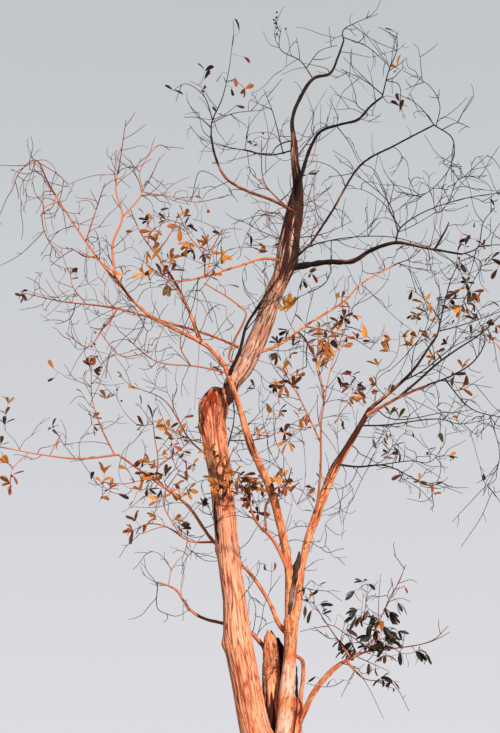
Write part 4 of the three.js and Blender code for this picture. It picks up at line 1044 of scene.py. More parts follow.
twig_mass(
    "north_east_tip_twigs", on="north_east_bough", thick=(36, 10), reach=420, spray="green", tip=True,
    leafy=0.5,
    stem=[(2100, 900, 8100), (2250, 1100, 8670), (2390, 1400, 9090), (2530, 1600, 9350)],
    sides=[[(2115, 920, 8150), (2450, 1100, 8300), (2970, 1300, 8550), (3230, 1400, 8680)],
           [(2150, 970, 8350), (2020, 1400, 8750), (1890, 1800, 9030)]],
)
twig_mass(
    "north_east_side_twigs", on="north_east_bough", thick=(30, 10), reach=410, spray="amber",
    leafy=0.6,
    stem=[(1580, 400, 7330), (1810, 100, 7380), (2160, -300, 7570), (2470, -600, 7640)],
    sides=[[(1690, 260, 7350), (1730, 200, 7700), (1870, 200, 7940), (1930, 100, 8140)]],
)
twig_mass(
    "east_low_tip_twigs", on="east_low_bough", thick=(38, 10), reach=420, spray="green", tip=True,
    leafy=0.5, droop=0.25,
    stem=[(1790, -600, 7000), (2010, -850, 7020), (2250, -1200, 7100), (2340, -1500, 7240),
          (2230, -1850, 7370)],
    sides=[[(1970, -800, 7015), (2210, -1000, 6620), (2490, -1300, 6430), (2740, -1500, 6360)],
           [(2390, -1220, 6490), (2430, -1600, 5890), (2190, -1900, 5400)]],
)
twig_mass(
    "east_low_side_twigs", on="east_bough", thick=(34, 10), reach=430, leafy=0.3,
    stem=[(1060, 95, 6720), (1370, 450, 6800), (2080, 900, 7000), (2400, 1250, 7030),
          (2840, 1500, 7170)],
)
twig_mass(
    "low_right_twigs", on="east_bough", thick=(42, 10), reach=420, leafy=0.25, droop=0.2,
    stem=[(760, 60, 6210), (1000, -130, 6140), (1290, -450, 6080), (1570, -800, 5850),
          (1790, -1050, 5670)],
    sides=[[(1240, -390, 6100), (1600, -300, 6170), (1860, 0, 6230), (2050, 200, 6490)]],
)
twig_mass(
    "right_low_twigs", on="right_low_bough", thick=(50, 12), reach=400, spray="green", tip=True,
    leafy=0.9, every=0.62, droop=0.15, tone="warm", lit=0.3, slim=0.6, fine=0.35,
    stem=[(760, -200, 3850), (1020, -300, 3960), (1290, -500, 3970), (1720, -800, 4020),
          (1890, -950, 4160)],
    sides=[[(860, -240, 3900), (620, -560, 4190), (420, -800, 4440)],
           [(1080, -340, 3965), (1180, -200, 4280), (1420, 100, 4750), (1570, 300, 5060)],
           [(800, -215, 3870), (1000, -450, 3650), (1290, -700, 3600)]],
)
twig_mass(
    "back_twigs", on="back_bough", thick=(34, 10), reach=460, tip=True, leafy=0.2,
    stem=[(290, 1500, 9500), (420, 1900, 10100), (480, 2250, 10700)],
    sides=[[(310, 1550, 9600), (-100, 1900, 9900), (-420, 2300, 10250)],
           [(330, 1620, 9700), (760, 1950, 9900), (1150, 2250, 10200)],
           [(320, 1580, 9640), (350, 2250, 9560), (420, 2750, 9650)]],
)
twig_mass(
    "low_back_twigs", on="low_back_bough", thick=(34, 10), reach=460, spray="amber", tip=True,
    leafy=0.4,
    stem=[(-560, 1400, 6750), (-480, 1800, 7250), (-520, 2200, 7750)],
    sides=[[(-550, 1440, 6800), (-950, 1850, 6950), (-1350, 2300, 7250)],
           [(-540, 1480, 6860), (-80, 1850, 7000), (400, 2200, 7350)],
           [(-500, 1700, 7120), (-250, 2300, 7150), (-150, 2700, 7300)]],
)


# The side twigs, by the source's rule: each mass's stems bear twigs at even steps, each turned
# on from the one before, with lean, length and bend drawn by chance from the mass's name. A
# twig that would come close to another limb or mass is left out. Some end in a few leaves.
TWIG_EVERY = 500
TWIG_TURN = 2.4
TWIG_THICK = 13
TWIG_PARTS = 2
TWIG_ROOM = 26
TWIG_PLACE = (0.42, 0.5)
TWIG_LEAN = (0.7, 0.45)
TWIG_LENGTH = (0.55, 0.75)
TURN_CHANCE = 0.7
TWIG_FADE = 0.45
TWIG_BEND = 0.5
TWIG_RISE = 0.22
LEAF_LONG = 170
LEAF_WIDE = 0.36
LEAF_WIDEST = 0.62
LEAF_DROOP = 0.09
ROSETTE = (1, 3)
LEAF_LENGTH = (0.75, 0.45)
LEAF_LEAN = (0.65, 0.55)
LEAF_BACK = (6, 12)
LEAF_HANG = 0.25
END_LEAFY = 1.3
CELL = 250
WORD = 0xFFFFFFFF
taken = {}


def draws_for(name):
    """A repeatable run of numbers from 0 to 1, started by a name's letters."""
    state = 2166136261
    for letter in name:
        state = ((state ^ ord(letter)) * 16777619) & WORD

    def draw():
        nonlocal state
        state = (state + 0x6D2B79F5) & WORD
        mixed = ((state ^ (state >> 15)) * (1 | state)) & WORD
        mixed = ((mixed + (((mixed ^ (mixed >> 7)) * (61 | mixed)) & WORD)) & WORD) ^ mixed
        return (mixed ^ (mixed >> 14)) / 4294967296

    return draw


def spread(least_and_more, draw):
    """A value with its least and what chance may add to it."""
    return least_and_more[0] + least_and_more[1] * draw()


def cell_of(place):
    return tuple(int(number // CELL) for number in place)


def take(place, radius, owner):
    taken.setdefault(cell_of(place), []).append((place, radius, owner))


def is_free(place, radius, owner):
    """True where no other limb or mass has a place within its radius, this one and the room."""
    x, y, z = cell_of(place)
    for i in range(x - 1, x + 2):
        for j in range(y - 1, y + 2):
            for k in range(z - 1, z + 2):
                for spot, other_radius, other in taken.get((i, j, k), ()):
                    if other != owner and math.dist(spot, place) < other_radius + radius + TWIG_ROOM:
                        return False
    return True


def twig_from(line, station, mass, turn, draw):
    """A twig that leaves a line at a station: along its leaning way, bent off it by the square
    of the share."""
    lean = spread(TWIG_LEAN, draw)
    long = mass["reach"] * (1 - TWIG_FADE * line["share"][station]) * spread(TWIG_LENGTH, draw)
    way = (line["way"][station] * math.cos(lean)
           + line["across"][station] * (math.sin(lean) * math.cos(turn))
           + line["over"][station] * (math.sin(lean) * math.sin(turn)))
    bend = np.array([draw() - 0.5, draw() - 0.5, draw() - 0.5]) * TWIG_BEND
    bend[2] += TWIG_RISE - mass["droop"]
    share = np.linspace(0, 1, TWIG_PARTS + 1)[:, None]
    return line["at"][station] + long * (way * share + bend * share ** 2)


def rosette_at(line, station, draw):
    """The source's few leaves round a twig's end: foot, way, outward way and length of each."""
    count = ROSETTE[0] + int(draw() * (ROSETTE[1] - ROSETTE[0] + 1))
    first = draw() * 2 * math.pi
    leaves = []
    for leaf in range(count):
        turn = first + leaf / count * 2 * math.pi + (draw() - 0.5) * TURN_CHANCE
        lean = spread(LEAF_LEAN, draw)
        long = LEAF_LONG * spread(LEAF_LENGTH, draw)
        back = spread(LEAF_BACK, draw)
        out = line["across"][station] * math.cos(turn) + line["over"][station] * math.sin(turn)
        way = line["way"][station] * math.cos(lean) + out * math.sin(lean)
        way = unit(way - np.array([0, 0, LEAF_HANG]))
        root = line["at"][station] - line["way"][station] * back
        leaves.append((root, way, out, long))
    return leaves


def leaf_spots(root, way, out, long):
    """A leaf's widest place and its tip, which droops to its under side."""
    aside = unit(np.cross(way, out))
    under = np.cross(aside, way)
    return root + way * long * LEAF_WIDEST, root + way * long - under * long * LEAF_DROOP


for owner, line in limb_lines.items():
    for place, radius in zip(line["at"], line["radius"]):
        take(place, radius, owner)
for owner, mass in masses.items():
    for line in mass["lines"]:
        for place, share in zip(line["at"], line["share"]):
            take(place, between(line["thick"], share) / 2, owner)

side_twigs = []
source_leaves = []


def bear_leaves(owner, line, station, draw):
    """Leaves at a twig's end where there is room for them."""
    for root, way, out, long in rosette_at(line, station, draw):
        spots = leaf_spots(root, way, out, long)
        half = long * LEAF_WIDE / 2
        if all(is_free(spot, half, owner) for spot in spots):
            for spot in spots:
                take(spot, half, owner)
            source_leaves.append((owner, root, way, out, long))


for owner, mass in masses.items():
    for index, line in enumerate(mass["lines"]):
        last = len(line["at"]) - 1
        count = max(1, int(line["run"][-1] / (TWIG_EVERY * mass["every"]) + 0.5))
        for twig in range(count):
            draw = draws_for(f"{owner} {index} {twig}")
            share = (twig + spread(TWIG_PLACE, draw)) / count
            turn = index + twig * TWIG_TURN + (draw() - 0.5) * TURN_CHANCE
            places = twig_from(line, int(share * last + 0.5), mass, turn, draw)
            if not all(is_free(place, TWIG_THICK / 2, owner) for place in places[1:]):
                continue
            for place in places:
                take(place, TWIG_THICK / 2, owner)
            side_twigs.append((owner, places))
            if draw() < mass["leafy"]:
                bear_leaves(owner, centre_line(places, TWIG_PARTS), TWIG_PARTS, draw)
        draw = draws_for(f"{owner} {index} end")
        if draw() < mass["leafy"] * END_LEAFY:
            bear_leaves(owner, line, last, draw)

# The twig wood. The stems and side twigs above carry finer shoots, and those carry finer ones
# still, each set shorter and thinner than what it grows on. They are sinuous, spring at wide
# angles and turn up or hang. None leaves the crown's outline or crosses a limb.
OUTLINE_ROOM = 0.02
TWIG_SIDES = 3
LINE_PIECE = 420
TIP_SHARE = 0.42
PATH_POINTS = 8
STEM_STEP = 45
SLIM_BY = 0.4
TWIG_TIP = 7
LIMB_GAP = 6
BATCH = 2000
SHOOT_FADE, SHOOT_SIZE, SHOOT_BEND = 0.35, (0.4, 1.25), 0.3
HANGING = -0.5
FIRST_SHOOT = 0.12
SWAY, SWAY_TURNS = 0.1, (0.6, 1.3)
chance = np.random.default_rng(20)


def arcs(places, points):
    """Points on the quadratic arc through three places of each twig."""
    share = np.linspace(0, 1, points)[None, :, None]
    start, middle, end = (places[:, step, None, :] for step in range(3))
    return (start * (2 * share ** 2 - 3 * share + 1) + middle * 4 * (share - share ** 2)
            + end * (2 * share ** 2 - share))


def tubes(paths, radii):
    """Closed three-sided tubes along many paths at once. Each ring stands square to its path,
    and each end is closed by one triangle."""
    count, points, _ = paths.shape
    ways = unit(np.gradient(paths, axis=1))
    whole = unit(paths[:, -1] - paths[:, 0])
    side = np.where(np.abs(whole[:, :1]) > 0.8, [[0.0, 1, 0]], [[1.0, 0, 0]])[:, None, :]
    across = unit(side - ways * (ways * side).sum(-1, keepdims=True))
    over = np.cross(ways, across)
    angle = np.arange(TWIG_SIDES) * 2 * np.pi / TWIG_SIDES
    rings = (paths[:, :, None, :]
             + across[:, :, None, :] * (np.cos(angle)[None, None, :, None] * radii[:, :, None, None])
             + over[:, :, None, :] * (np.sin(angle)[None, None, :, None] * radii[:, :, None, None]))
    skin = ring_faces(points, TWIG_SIDES)
    top = (points - 1) * TWIG_SIDES
    one = np.vstack([skin[:, [0, 1, 2]], skin[:, [0, 2, 3]], [[0, 2, 1]], [[top, top + 1, top + 2]]])
    faces = one[None] + (np.arange(count) * points * TWIG_SIDES)[:, None, None]
    return rings.reshape(-1, 3), faces.reshape(-1, 3)


def resampled(line, first, last, points):
    """Evenly shared points of a stretch of a centre line."""
    share = np.linspace(first, last, points)
    return np.stack([np.interp(share, line["share"], line["at"][:, axis]) for axis in range(3)], 1)


def shoots(parents, count, long, lean, rise, points):
    """Finer shoots off many parent paths: at shares spread along each parent with chance, each
    leans off the parent's way, bends with the square of its share and sways in a sine wave."""
    number, steps, _ = parents.shape
    share = (np.arange(count)[None, :] + chance.uniform(0.1, 0.9, (number, count))) / count
    share = FIRST_SHOOT + (1 - FIRST_SHOOT) * share
    spot = share * (steps - 1)
    low = np.minimum(spot.astype(int), steps - 2)
    rows = np.arange(number)[:, None]
    near, far = parents[rows, low], parents[rows, low + 1]
    start = near + (far - near) * (spot - low)[..., None]
    way = unit(far - near)
    out = chance.normal(size=way.shape)
    out = unit(out - way * (out * way).sum(-1, keepdims=True))
    tilt = chance.uniform(*lean, (number, count, 1))
    way = way * np.cos(tilt) + out * np.sin(tilt)
    size = long * (1 - SHOOT_FADE * share[..., None]) * chance.uniform(*SHOOT_SIZE, (number, count, 1))
    bend = chance.normal(size=way.shape) * SHOOT_BEND
    bend[..., 2] += chance.choice([rise, rise, HANGING], (number, count))
    run = np.linspace(0, 1, points)[None, None, :, None]
    turns = chance.uniform(*SWAY_TURNS, (number, count, 1, 1))
    sway = unit(np.cross(way, bend + 1e-6))[:, :, None, :] * SWAY * np.sin(2 * np.pi * run * turns)
    paths = start[:, :, None, :] + size[:, :, None, :] * (
        way[:, :, None, :] * run + bend[:, :, None, :] * run ** 2 + sway * run
    )
    return paths.reshape(-1, points, 3), np.repeat(np.arange(number), count)


limb_places = np.vstack([line["at"] for line in limb_lines.values()])
limb_radii = np.concatenate([line["radius"] for line in limb_lines.values()])
lowest, highest = (np.array(corner) / MM for corner in cad_box)
room = (highest - lowest) * OUTLINE_ROOM


def grows_clear(paths):
    """True for each path that stays in the crown's outline and keeps off every limb."""
    inside = ((paths > lowest - room) & (paths < highest + room)).all((1, 2))
    clear = np.ones(len(paths), bool)
    for start in range(0, len(paths), BATCH):
        ends = paths[start:start + BATCH, [paths.shape[1] // 2, -1]]
        gaps = np.linalg.norm(ends[:, :, None, :] - limb_places, axis=-1) - limb_radii
        clear[start:start + BATCH] = (gaps > LIMB_GAP).all((1, 2))
    return inside & clear


def tapered(paths, foot, tip):
    """A radius for each point of each path, from half the foot's thickness to half the tip's."""
    return np.repeat(np.linspace(foot / 2, tip / 2, paths.shape[1])[None], len(paths), 0)


wood = {"lit": [], "warm": [], "dark": []}
STEM_SHARE = {"warm": 0.95, "dark": 0.75}


def add_wood(tone, paths, radii):
    if len(paths):
        wood[tone].append(tubes(paths, radii))


parents, parent_of = [], []
for owner, mass in masses.items():
    lit = mass["lit"]
    stages = [("lit", 0, lit), ("warm", lit, 1)] if mass["tone"] == "warm" else [("dark", 0, 1)]
    for line in mass["lines"]:
        for tone, first, last in stages:
            points = max(PATH_POINTS, int(line["run"][-1] * (last - first) / STEM_STEP))
            path = resampled(line, first, last, points)[None]
            thick = between(line["thick"], np.linspace(first, last, points))[None]
            slim = np.interp(np.linspace(first, last, points), (0, SLIM_BY), (1, mass["slim"]))
            add_wood(tone, path, thick / 2 * slim * STEM_SHARE[mass["tone"]])
        pieces = max(1, int(line["run"][-1] / LINE_PIECE + 0.5))
        for piece in range(pieces):
            parents.append(resampled(line, piece / pieces, (piece + 1) / pieces, PATH_POINTS))
            parent_of.append(owner)
first_paths = arcs(np.array([places for _, places in side_twigs]), PATH_POINTS)
first_owner = [owner for owner, _ in side_twigs]
for tone in ("warm", "dark"):
    chosen = np.array([masses[owner]["tone"] == tone for owner in first_owner])
    add_wood(tone, first_paths[chosen], tapered(first_paths[chosen], TWIG_THICK, TWIG_TIP))

# The drawn twigs. Each was read off the photograph: its tone, its thickness in millimetres
# and the pixels that it passes, across and down. Its foot stands as deep as the wood that shows
# nearest and is joined to it, and on its way it comes forward or goes back by chance.
DARK, WARM = "dark", "warm"
TWIGS_SEEN = (
    (DARK, 12, 329, 74, 327, 69, 318, 66, 309, 64, 301, 62), (DARK, 9, 297, 62, 287, 66, 281, 71),
    (DARK, 9, 279, 46, 275, 40, 277, 33, 280, 25), (DARK, 8, 279, 47, 270, 44, 266, 37, 263, 31),
    (DARK, 12, 217, 107, 210, 100, 205, 92, 201, 87, 190, 81),
    (DARK, 12, 210, 139, 203, 131, 200, 122, 199, 112), (DARK, 9, 199, 112, 190, 113, 185, 115),
    (DARK, 9, 211, 119, 203, 119, 199, 117), (DARK, 11, 216, 118, 217, 130, 222, 138, 229, 148),
    (DARK, 8, 211, 152, 204, 151, 198, 152), (DARK, 24, 291, 141, 283, 143, 276, 148, 272, 154),
    (DARK, 15, 272, 154, 260, 153, 245, 150, 229, 149),
    (DARK, 11, 281, 142, 277, 137, 271, 133, 260, 132, 250, 134),
    (DARK, 8, 250, 134, 247, 137, 249, 143, 255, 147), (DARK, 8, 252, 143, 255, 139, 262, 136),
    (DARK, 8, 252, 141, 258, 144, 261, 152), (DARK, 9, 231, 117, 240, 121, 246, 126, 249, 132),
    (DARK, 8, 247, 110, 249, 102, 254, 98, 257, 93),
    (DARK, 10, 290, 140, 284, 137, 282, 130, 284, 122, 289, 117),
    (DARK, 10, 303, 92, 298, 85, 293, 81), (DARK, 10, 312, 136, 311, 128, 314, 115, 309, 100, 306, 92),
    (DARK, 11, 300, 141, 304, 133, 310, 121, 316, 108, 326, 90),
    (DARK, 9, 329, 124, 320, 123, 316, 125, 312, 131),
    (DARK, 9, 361, 111, 352, 109, 342, 110, 332, 108, 326, 102),
    (DARK, 9, 336, 125, 338, 118, 337, 111), (DARK, 8, 292, 158, 302, 156, 311, 155, 318, 155),
    (DARK, 10, 341, 35, 336, 38, 330, 42, 325, 42), (DARK, 9, 350, 24, 350, 18, 353, 14),
    (DARK, 10, 342, 53, 352, 53, 362, 56, 372, 57, 384, 53, 397, 50),
    (DARK, 10, 374, 98, 373, 85, 371, 75, 367, 64),
    (DARK, 12, 363, 110, 357, 105, 355, 95, 352, 84, 347, 74, 342, 69),
    (DARK, 8, 357, 105, 353, 98, 353, 90), (DARK, 9, 388, 68, 387, 60, 384, 50),
    (DARK, 14, 386, 79, 394, 78, 399, 72, 403, 69), (DARK, 9, 393, 79, 392, 87, 393, 95),
    (DARK, 9, 381, 97, 388, 96, 395, 98), (DARK, 9, 384, 97, 388, 103, 394, 102, 398, 98),
    (DARK, 10, 423, 78, 421, 68, 420, 56, 417, 47, 413, 43), (DARK, 9, 421, 77, 414, 86, 408, 96),
    (DARK, 9, 420, 76, 414, 76, 409, 78), (DARK, 10, 434, 122, 429, 116, 421, 111, 413, 114, 416, 119),
    (DARK, 10, 436, 121, 444, 117, 452, 119, 462, 125),
    (DARK, 9, 405, 142, 410, 137, 410, 131, 407, 126),
    (DARK, 9, 394, 146, 399, 151, 402, 159, 396, 165, 389, 169),
    (DARK, 9, 402, 155, 406, 161, 409, 171, 408, 180),
    (DARK, 13, 336, 125, 342, 132, 350, 143, 355, 155, 360, 165),
    (DARK, 12, 364, 111, 368, 114, 364, 119, 357, 118), (DARK, 8, 360, 120, 370, 122, 382, 122),
    (WARM, 10, 37, 160, 45, 160, 53, 166, 57, 176, 52, 187),
    (WARM, 9, 36, 162, 25, 167, 16, 172, 12, 184), (WARM, 10, 35, 165, 31, 174, 27, 185, 24, 193),
    (WARM, 10, 39, 171, 30, 173, 22, 183, 20, 196, 26, 214), (WARM, 8, 36, 163, 33, 175, 31, 187),
    (WARM, 8, 40, 173, 46, 184, 51, 190),
    (WARM, 13, 54, 193, 48, 191, 44, 192, 43, 203, 45, 222, 48, 236, 53, 252),
    (WARM, 8, 56, 196, 45, 195, 35, 198, 24, 203), (WARM, 8, 46, 230, 38, 234, 31, 239),
    (WARM, 9, 58, 200, 65, 200, 69, 194, 73, 190), (DARK, 12, 59, 203, 63, 211, 64, 217),
    (WARM, 8, 74, 222, 85, 225, 98, 224), (WARM, 9, 88, 234, 96, 228, 105, 226, 111, 225),
    (DARK, 9, 91, 240, 94, 246, 92, 252), (WARM, 18, 116, 273, 105, 265, 95, 259, 85, 254, 76, 248),
    (DARK, 16, 115, 271, 112, 263, 108, 255),
    (WARM, 8, 112, 254, 122, 252, 131, 248, 138, 252, 143, 270),
    (WARM, 9, 115, 268, 124, 267, 132, 266, 143, 272),
    (WARM, 9, 115, 173, 112, 163, 112, 155, 118, 150),
    (DARK, 12, 115, 174, 121, 170, 128, 167, 133, 167),
    (WARM, 12, 141, 192, 139, 182, 135, 173, 132, 164, 129, 158),
    (WARM, 10, 117, 187, 123, 179, 131, 173, 139, 169),
    (WARM, 9, 121, 151, 131, 148, 141, 146, 149, 148),
    (WARM, 8, 114, 175, 108, 175, 102, 176, 100, 182), (WARM, 10, 121, 146, 118, 156, 116, 168),
    (DARK, 10, 141, 191, 147, 183, 154, 171, 160, 157),
    (WARM, 9, 142, 187, 150, 178, 157, 163, 165, 153), (WARM, 8, 149, 176, 156, 180, 159, 187),
    (WARM, 12, 141, 196, 152, 194, 163, 196, 175, 201, 190, 205),
    (WARM, 10, 142, 198, 150, 201, 153, 207, 154, 219),
    (WARM, 9, 163, 195, 170, 187, 180, 181, 190, 176), (WARM, 8, 165, 196, 168, 201, 170, 207),
    (WARM, 9, 176, 193, 187, 192, 187, 200),
    (DARK, 9, 212, 163, 222, 163, 231, 162, 236, 155, 241, 150),
    (DARK, 10, 200, 172, 211, 174, 221, 181, 229, 187, 234, 197),
    (DARK, 11, 228, 181, 217, 187, 207, 193, 201, 202),
    (DARK, 12, 247, 190, 238, 189, 231, 190, 232, 196),
    (DARK, 10, 246, 155, 249, 166, 253, 175, 262, 182), (DARK, 8, 250, 171, 248, 180, 247, 188),
    (DARK, 9, 262, 176, 271, 167, 281, 159), (DARK, 18, 281, 200, 288, 194, 292, 188),
    (DARK, 12, 345, 187, 341, 176, 332, 167, 320, 162, 308, 161, 297, 160),
    (DARK, 10, 287, 187, 290, 176, 295, 171, 301, 167),
    (WARM, 11, 299, 240, 302, 225, 307, 207, 311, 190, 316, 168, 317, 156),
    (WARM, 10, 304, 192, 312, 201, 320, 212, 321, 227), (DARK, 10, 333, 209, 341, 211, 348, 219),
    (WARM, 12, 284, 222, 277, 214, 267, 213, 257, 221, 248, 231, 241, 250),
    (WARM, 9, 262, 214, 271, 216, 278, 224), (WARM, 9, 252, 247, 240, 247, 228, 250),
    (WARM, 8, 235, 224, 236, 238, 241, 249), (WARM, 8, 196, 205, 198, 213, 195, 221),
    (WARM, 9, 222, 226, 222, 240, 220, 251),
    (DARK, 16, 399, 228, 395, 220, 390, 210, 387, 198, 383, 186, 372, 168, 360, 164),
    (DARK, 12, 394, 221, 386, 207, 378, 199, 368, 192, 357, 189, 345, 189),
    (DARK, 10, 361, 189, 363, 183, 371, 182, 379, 185, 384, 193),
    (DARK, 8, 376, 150, 377, 160, 373, 175, 368, 182),
    (DARK, 10, 424, 193, 414, 195, 410, 187, 413, 179), (DARK, 9, 414, 195, 407, 201, 403, 206),
    (WARM, 10, 432, 243, 435, 228, 437, 214, 434, 204, 430, 190, 423, 177),
    (DARK, 9, 449, 201, 445, 192, 440, 184), (DARK, 8, 437, 213, 445, 210, 457, 208),
    (DARK, 34, 436, 246, 441, 238, 446, 229, 449, 222),
    (DARK, 10, 436, 250, 445, 256, 456, 265, 466, 267), (DARK, 9, 456, 266, 459, 274, 452, 283),
    (DARK, 9, 460, 176, 470, 176, 478, 178, 486, 176), (DARK, 8, 470, 176, 472, 168, 470, 160),
    (DARK, 8, 460, 176, 461, 168, 457, 161), (DARK, 9, 456, 177, 453, 171, 450, 166),
    (DARK, 13, 448, 204, 460, 200, 470, 198, 480, 200, 485, 203, 498, 200),
    (DARK, 8, 368, 222, 367, 210, 368, 197), (WARM, 9, 352, 225, 348, 216, 343, 209),
    (DARK, 9, 397, 262, 405, 267, 413, 272, 419, 272), (WARM, 10, 371, 250, 376, 258, 381, 269),
    (DARK, 10, 430, 253, 441, 255, 455, 262, 466, 273),
    (DARK, 12, 477, 250, 473, 264, 469, 275, 463, 286),
    (DARK, 14, 74, 303, 74, 311, 70, 318, 62, 323, 55, 324),
    (WARM, 8, 45, 300, 43, 305, 44, 310, 49, 311), (WARM, 8, 36, 298, 32, 296, 35, 290),
    (WARM, 8, 44, 299, 40, 290, 39, 280, 42, 272),
    (WARM, 9, 72, 301, 65, 295, 58, 287, 61, 279, 68, 270),
    (WARM, 9, 74, 301, 76, 290, 84, 280, 88, 270), (WARM, 9, 108, 306, 104, 297, 105, 285, 109, 274),
    (WARM, 9, 113, 307, 118, 297, 115, 285, 108, 272), (WARM, 8, 100, 304, 94, 290, 88, 283, 84, 275),
    (WARM, 12, 118, 309, 110, 321, 103, 328, 94, 331, 91, 342, 87, 348),
    (WARM, 9, 87, 348, 78, 349, 72, 344, 67, 334),
    (WARM, 10, 150, 352, 139, 349, 128, 352, 115, 355, 100, 352, 88, 348),
    (WARM, 10, 147, 329, 135, 329, 122, 328, 108, 324), (WARM, 8, 93, 303, 97, 315, 105, 326),
    (WARM, 8, 84, 304, 88, 320, 92, 331), (WARM, 9, 119, 310, 128, 314, 139, 317),
    (DARK, 14, 139, 312, 141, 320, 145, 328, 149, 331, 155, 323),
    (WARM, 11, 147, 331, 145, 342, 144, 352, 140, 358),
    (WARM, 13, 164, 322, 160, 335, 156, 345, 151, 352), (WARM, 9, 165, 323, 170, 332, 178, 341),
    (WARM, 11, 133, 301, 128, 300, 129, 292), (WARM, 10, 129, 292, 136, 288, 142, 279, 143, 271),
    (WARM, 10, 140, 300, 143, 291, 150, 288, 160, 287),
    (WARM, 12, 163, 318, 157, 312, 152, 302, 152, 288), (WARM, 9, 151, 288, 151, 278, 158, 269),
    (WARM, 10, 91, 386, 85, 380, 87, 372, 92, 366), (WARM, 10, 90, 387, 78, 381, 68, 378, 59, 372),
    (WARM, 8, 92, 385, 98, 382, 110, 381), (WARM, 9, 93, 392, 99, 394, 106, 398),
    (WARM, 10, 139, 425, 130, 418, 122, 408, 116, 396),
    (WARM, 11, 186, 434, 176, 414, 173, 402, 177, 388, 175, 378, 178, 366),
    (WARM, 8, 172, 404, 167, 392, 166, 380, 166, 368), (WARM, 8, 160, 388, 150, 380, 143, 370),
    (WARM, 8, 148, 426, 147, 412, 149, 400), (WARM, 8, 101, 424, 110, 421, 119, 423, 129, 423),
    (WARM, 34, 229, 359, 233, 343, 243, 323, 246, 313, 240, 306, 228, 297, 215, 289, 204, 283),
    (WARM, 10, 203, 326, 207, 314, 217, 305, 225, 306, 227, 318, 235, 330),
    (WARM, 9, 188, 296, 200, 300, 212, 302, 226, 306), (WARM, 9, 240, 348, 230, 349, 217, 347),
    (WARM, 9, 203, 339, 212, 339, 222, 333, 231, 327),
    (WARM, 12, 268, 346, 283, 340, 296, 340, 308, 342, 320, 337, 331, 326),
    (DARK, 10, 268, 352, 284, 351, 296, 349, 305, 345), (DARK, 26, 307, 342, 306, 352, 306, 367),
    (DARK, 13, 306, 367, 298, 370, 290, 375), (WARM, 9, 250, 358, 262, 361, 275, 366, 284, 373),
    (DARK, 9, 257, 371, 265, 380, 272, 385), (WARM, 10, 323, 386, 334, 389, 346, 394),
    (WARM, 9, 324, 402, 338, 400, 351, 405), (WARM, 9, 322, 418, 335, 415, 351, 413),
    (WARM, 13, 321, 425, 308, 427, 292, 432, 272, 433, 255, 432, 240, 432),
    (DARK, 9, 268, 440, 264, 425, 262, 410, 263, 396),
    (WARM, 8, 199, 337, 199, 352, 197, 372, 195, 392, 194, 410),
    (WARM, 10, 296, 333, 289, 322, 285, 310, 285, 300),
    (DARK, 10, 368, 290, 378, 300, 390, 313, 403, 324, 416, 333),
    (DARK, 10, 353, 307, 368, 299, 381, 289, 388, 278, 390, 268),
    (DARK, 14, 344, 325, 354, 328, 363, 333, 373, 342),
    (DARK, 11, 376, 386, 378, 373, 388, 367, 396, 357, 399, 344, 399, 333),
    (DARK, 14, 418, 341, 412, 348, 404, 357, 397, 364, 389, 371),
    (DARK, 13, 424, 336, 431, 325, 437, 308, 440, 292, 438, 279),
    (DARK, 11, 447, 349, 456, 341, 466, 328, 477, 313, 488, 302),
    (DARK, 8, 402, 396, 408, 406, 410, 418),
    (DARK, 16, 376, 409, 388, 418, 402, 420, 420, 417, 440, 413, 458, 412, 473, 409),
    (DARK, 9, 440, 413, 437, 407, 441, 402), (DARK, 9, 440, 413, 438, 421),
    (DARK, 10, 440, 413, 449, 418, 461, 421), (DARK, 8, 425, 396, 432, 403, 440, 411),
    (DARK, 11, 360, 466, 352, 480, 346, 486, 338, 489),
    (WARM, 10, 370, 470, 362, 478, 357, 490, 350, 504, 340, 511, 320, 516),
    (DARK, 9, 361, 469, 367, 456, 373, 446, 379, 441, 382, 437),
    (DARK, 14, 354, 447, 360, 454, 368, 458, 378, 463, 386, 457, 389, 452),
    (DARK, 9, 389, 451, 394, 445, 401, 448, 408, 460), (DARK, 9, 395, 443, 401, 436, 410, 430),
    (DARK, 8, 384, 437, 377, 439, 373, 434, 379, 428), (DARK, 9, 398, 472, 404, 476, 402, 483),
    (DARK, 9, 417, 482, 424, 487, 432, 487), (DARK, 8, 432, 487, 438, 483, 444, 483),
    (DARK, 8, 405, 479, 411, 479, 421, 482), (DARK, 9, 437, 455, 431, 454, 425, 455),
    (WARM, 11, 325, 428, 332, 444, 339, 457), (WARM, 10, 273, 433, 278, 447, 285, 458, 291, 470),
    (WARM, 10, 268, 432, 268, 447, 270, 462, 266, 478),
    (DARK, 10, 289, 482, 283, 473, 274, 460, 268, 447), (WARM, 8, 331, 480, 338, 489, 345, 487),
    (DARK, 9, 313, 543, 320, 548, 326, 547, 335, 557, 347, 557),
    (DARK, 9, 325, 547, 326, 535, 325, 525, 331, 518, 340, 513),
    (WARM, 9, 325, 525, 332, 531, 340, 535, 346, 530), (WARM, 8, 306, 575, 304, 570, 309, 566),
    (DARK, 10, 295, 540, 303, 541, 308, 543), (WARM, 9, 315, 512, 308, 498, 302, 490, 296, 478),
    (WARM, 8, 297, 504, 305, 500, 315, 493), (WARM, 12, 39, 455, 40, 449, 48, 447, 56, 444, 62, 441),
    (WARM, 10, 22, 449, 15, 441, 5, 431), (WARM, 9, 22, 448, 24, 441, 32, 435, 41, 429),
    (WARM, 10, 81, 457, 79, 446, 81, 438, 89, 428, 93, 421),
    (WARM, 9, 119, 457, 124, 450, 133, 443, 141, 433, 150, 429),
    (WARM, 9, 120, 459, 119, 470, 122, 483, 132, 490),
    (WARM, 11, 135, 493, 127, 494, 118, 494, 110, 492), (WARM, 10, 103, 488, 97, 483, 91, 480),
    (WARM, 12, 155, 488, 146, 489, 138, 491, 134, 499),
    (WARM, 11, 178, 532, 165, 527, 152, 530, 142, 534, 136, 533),
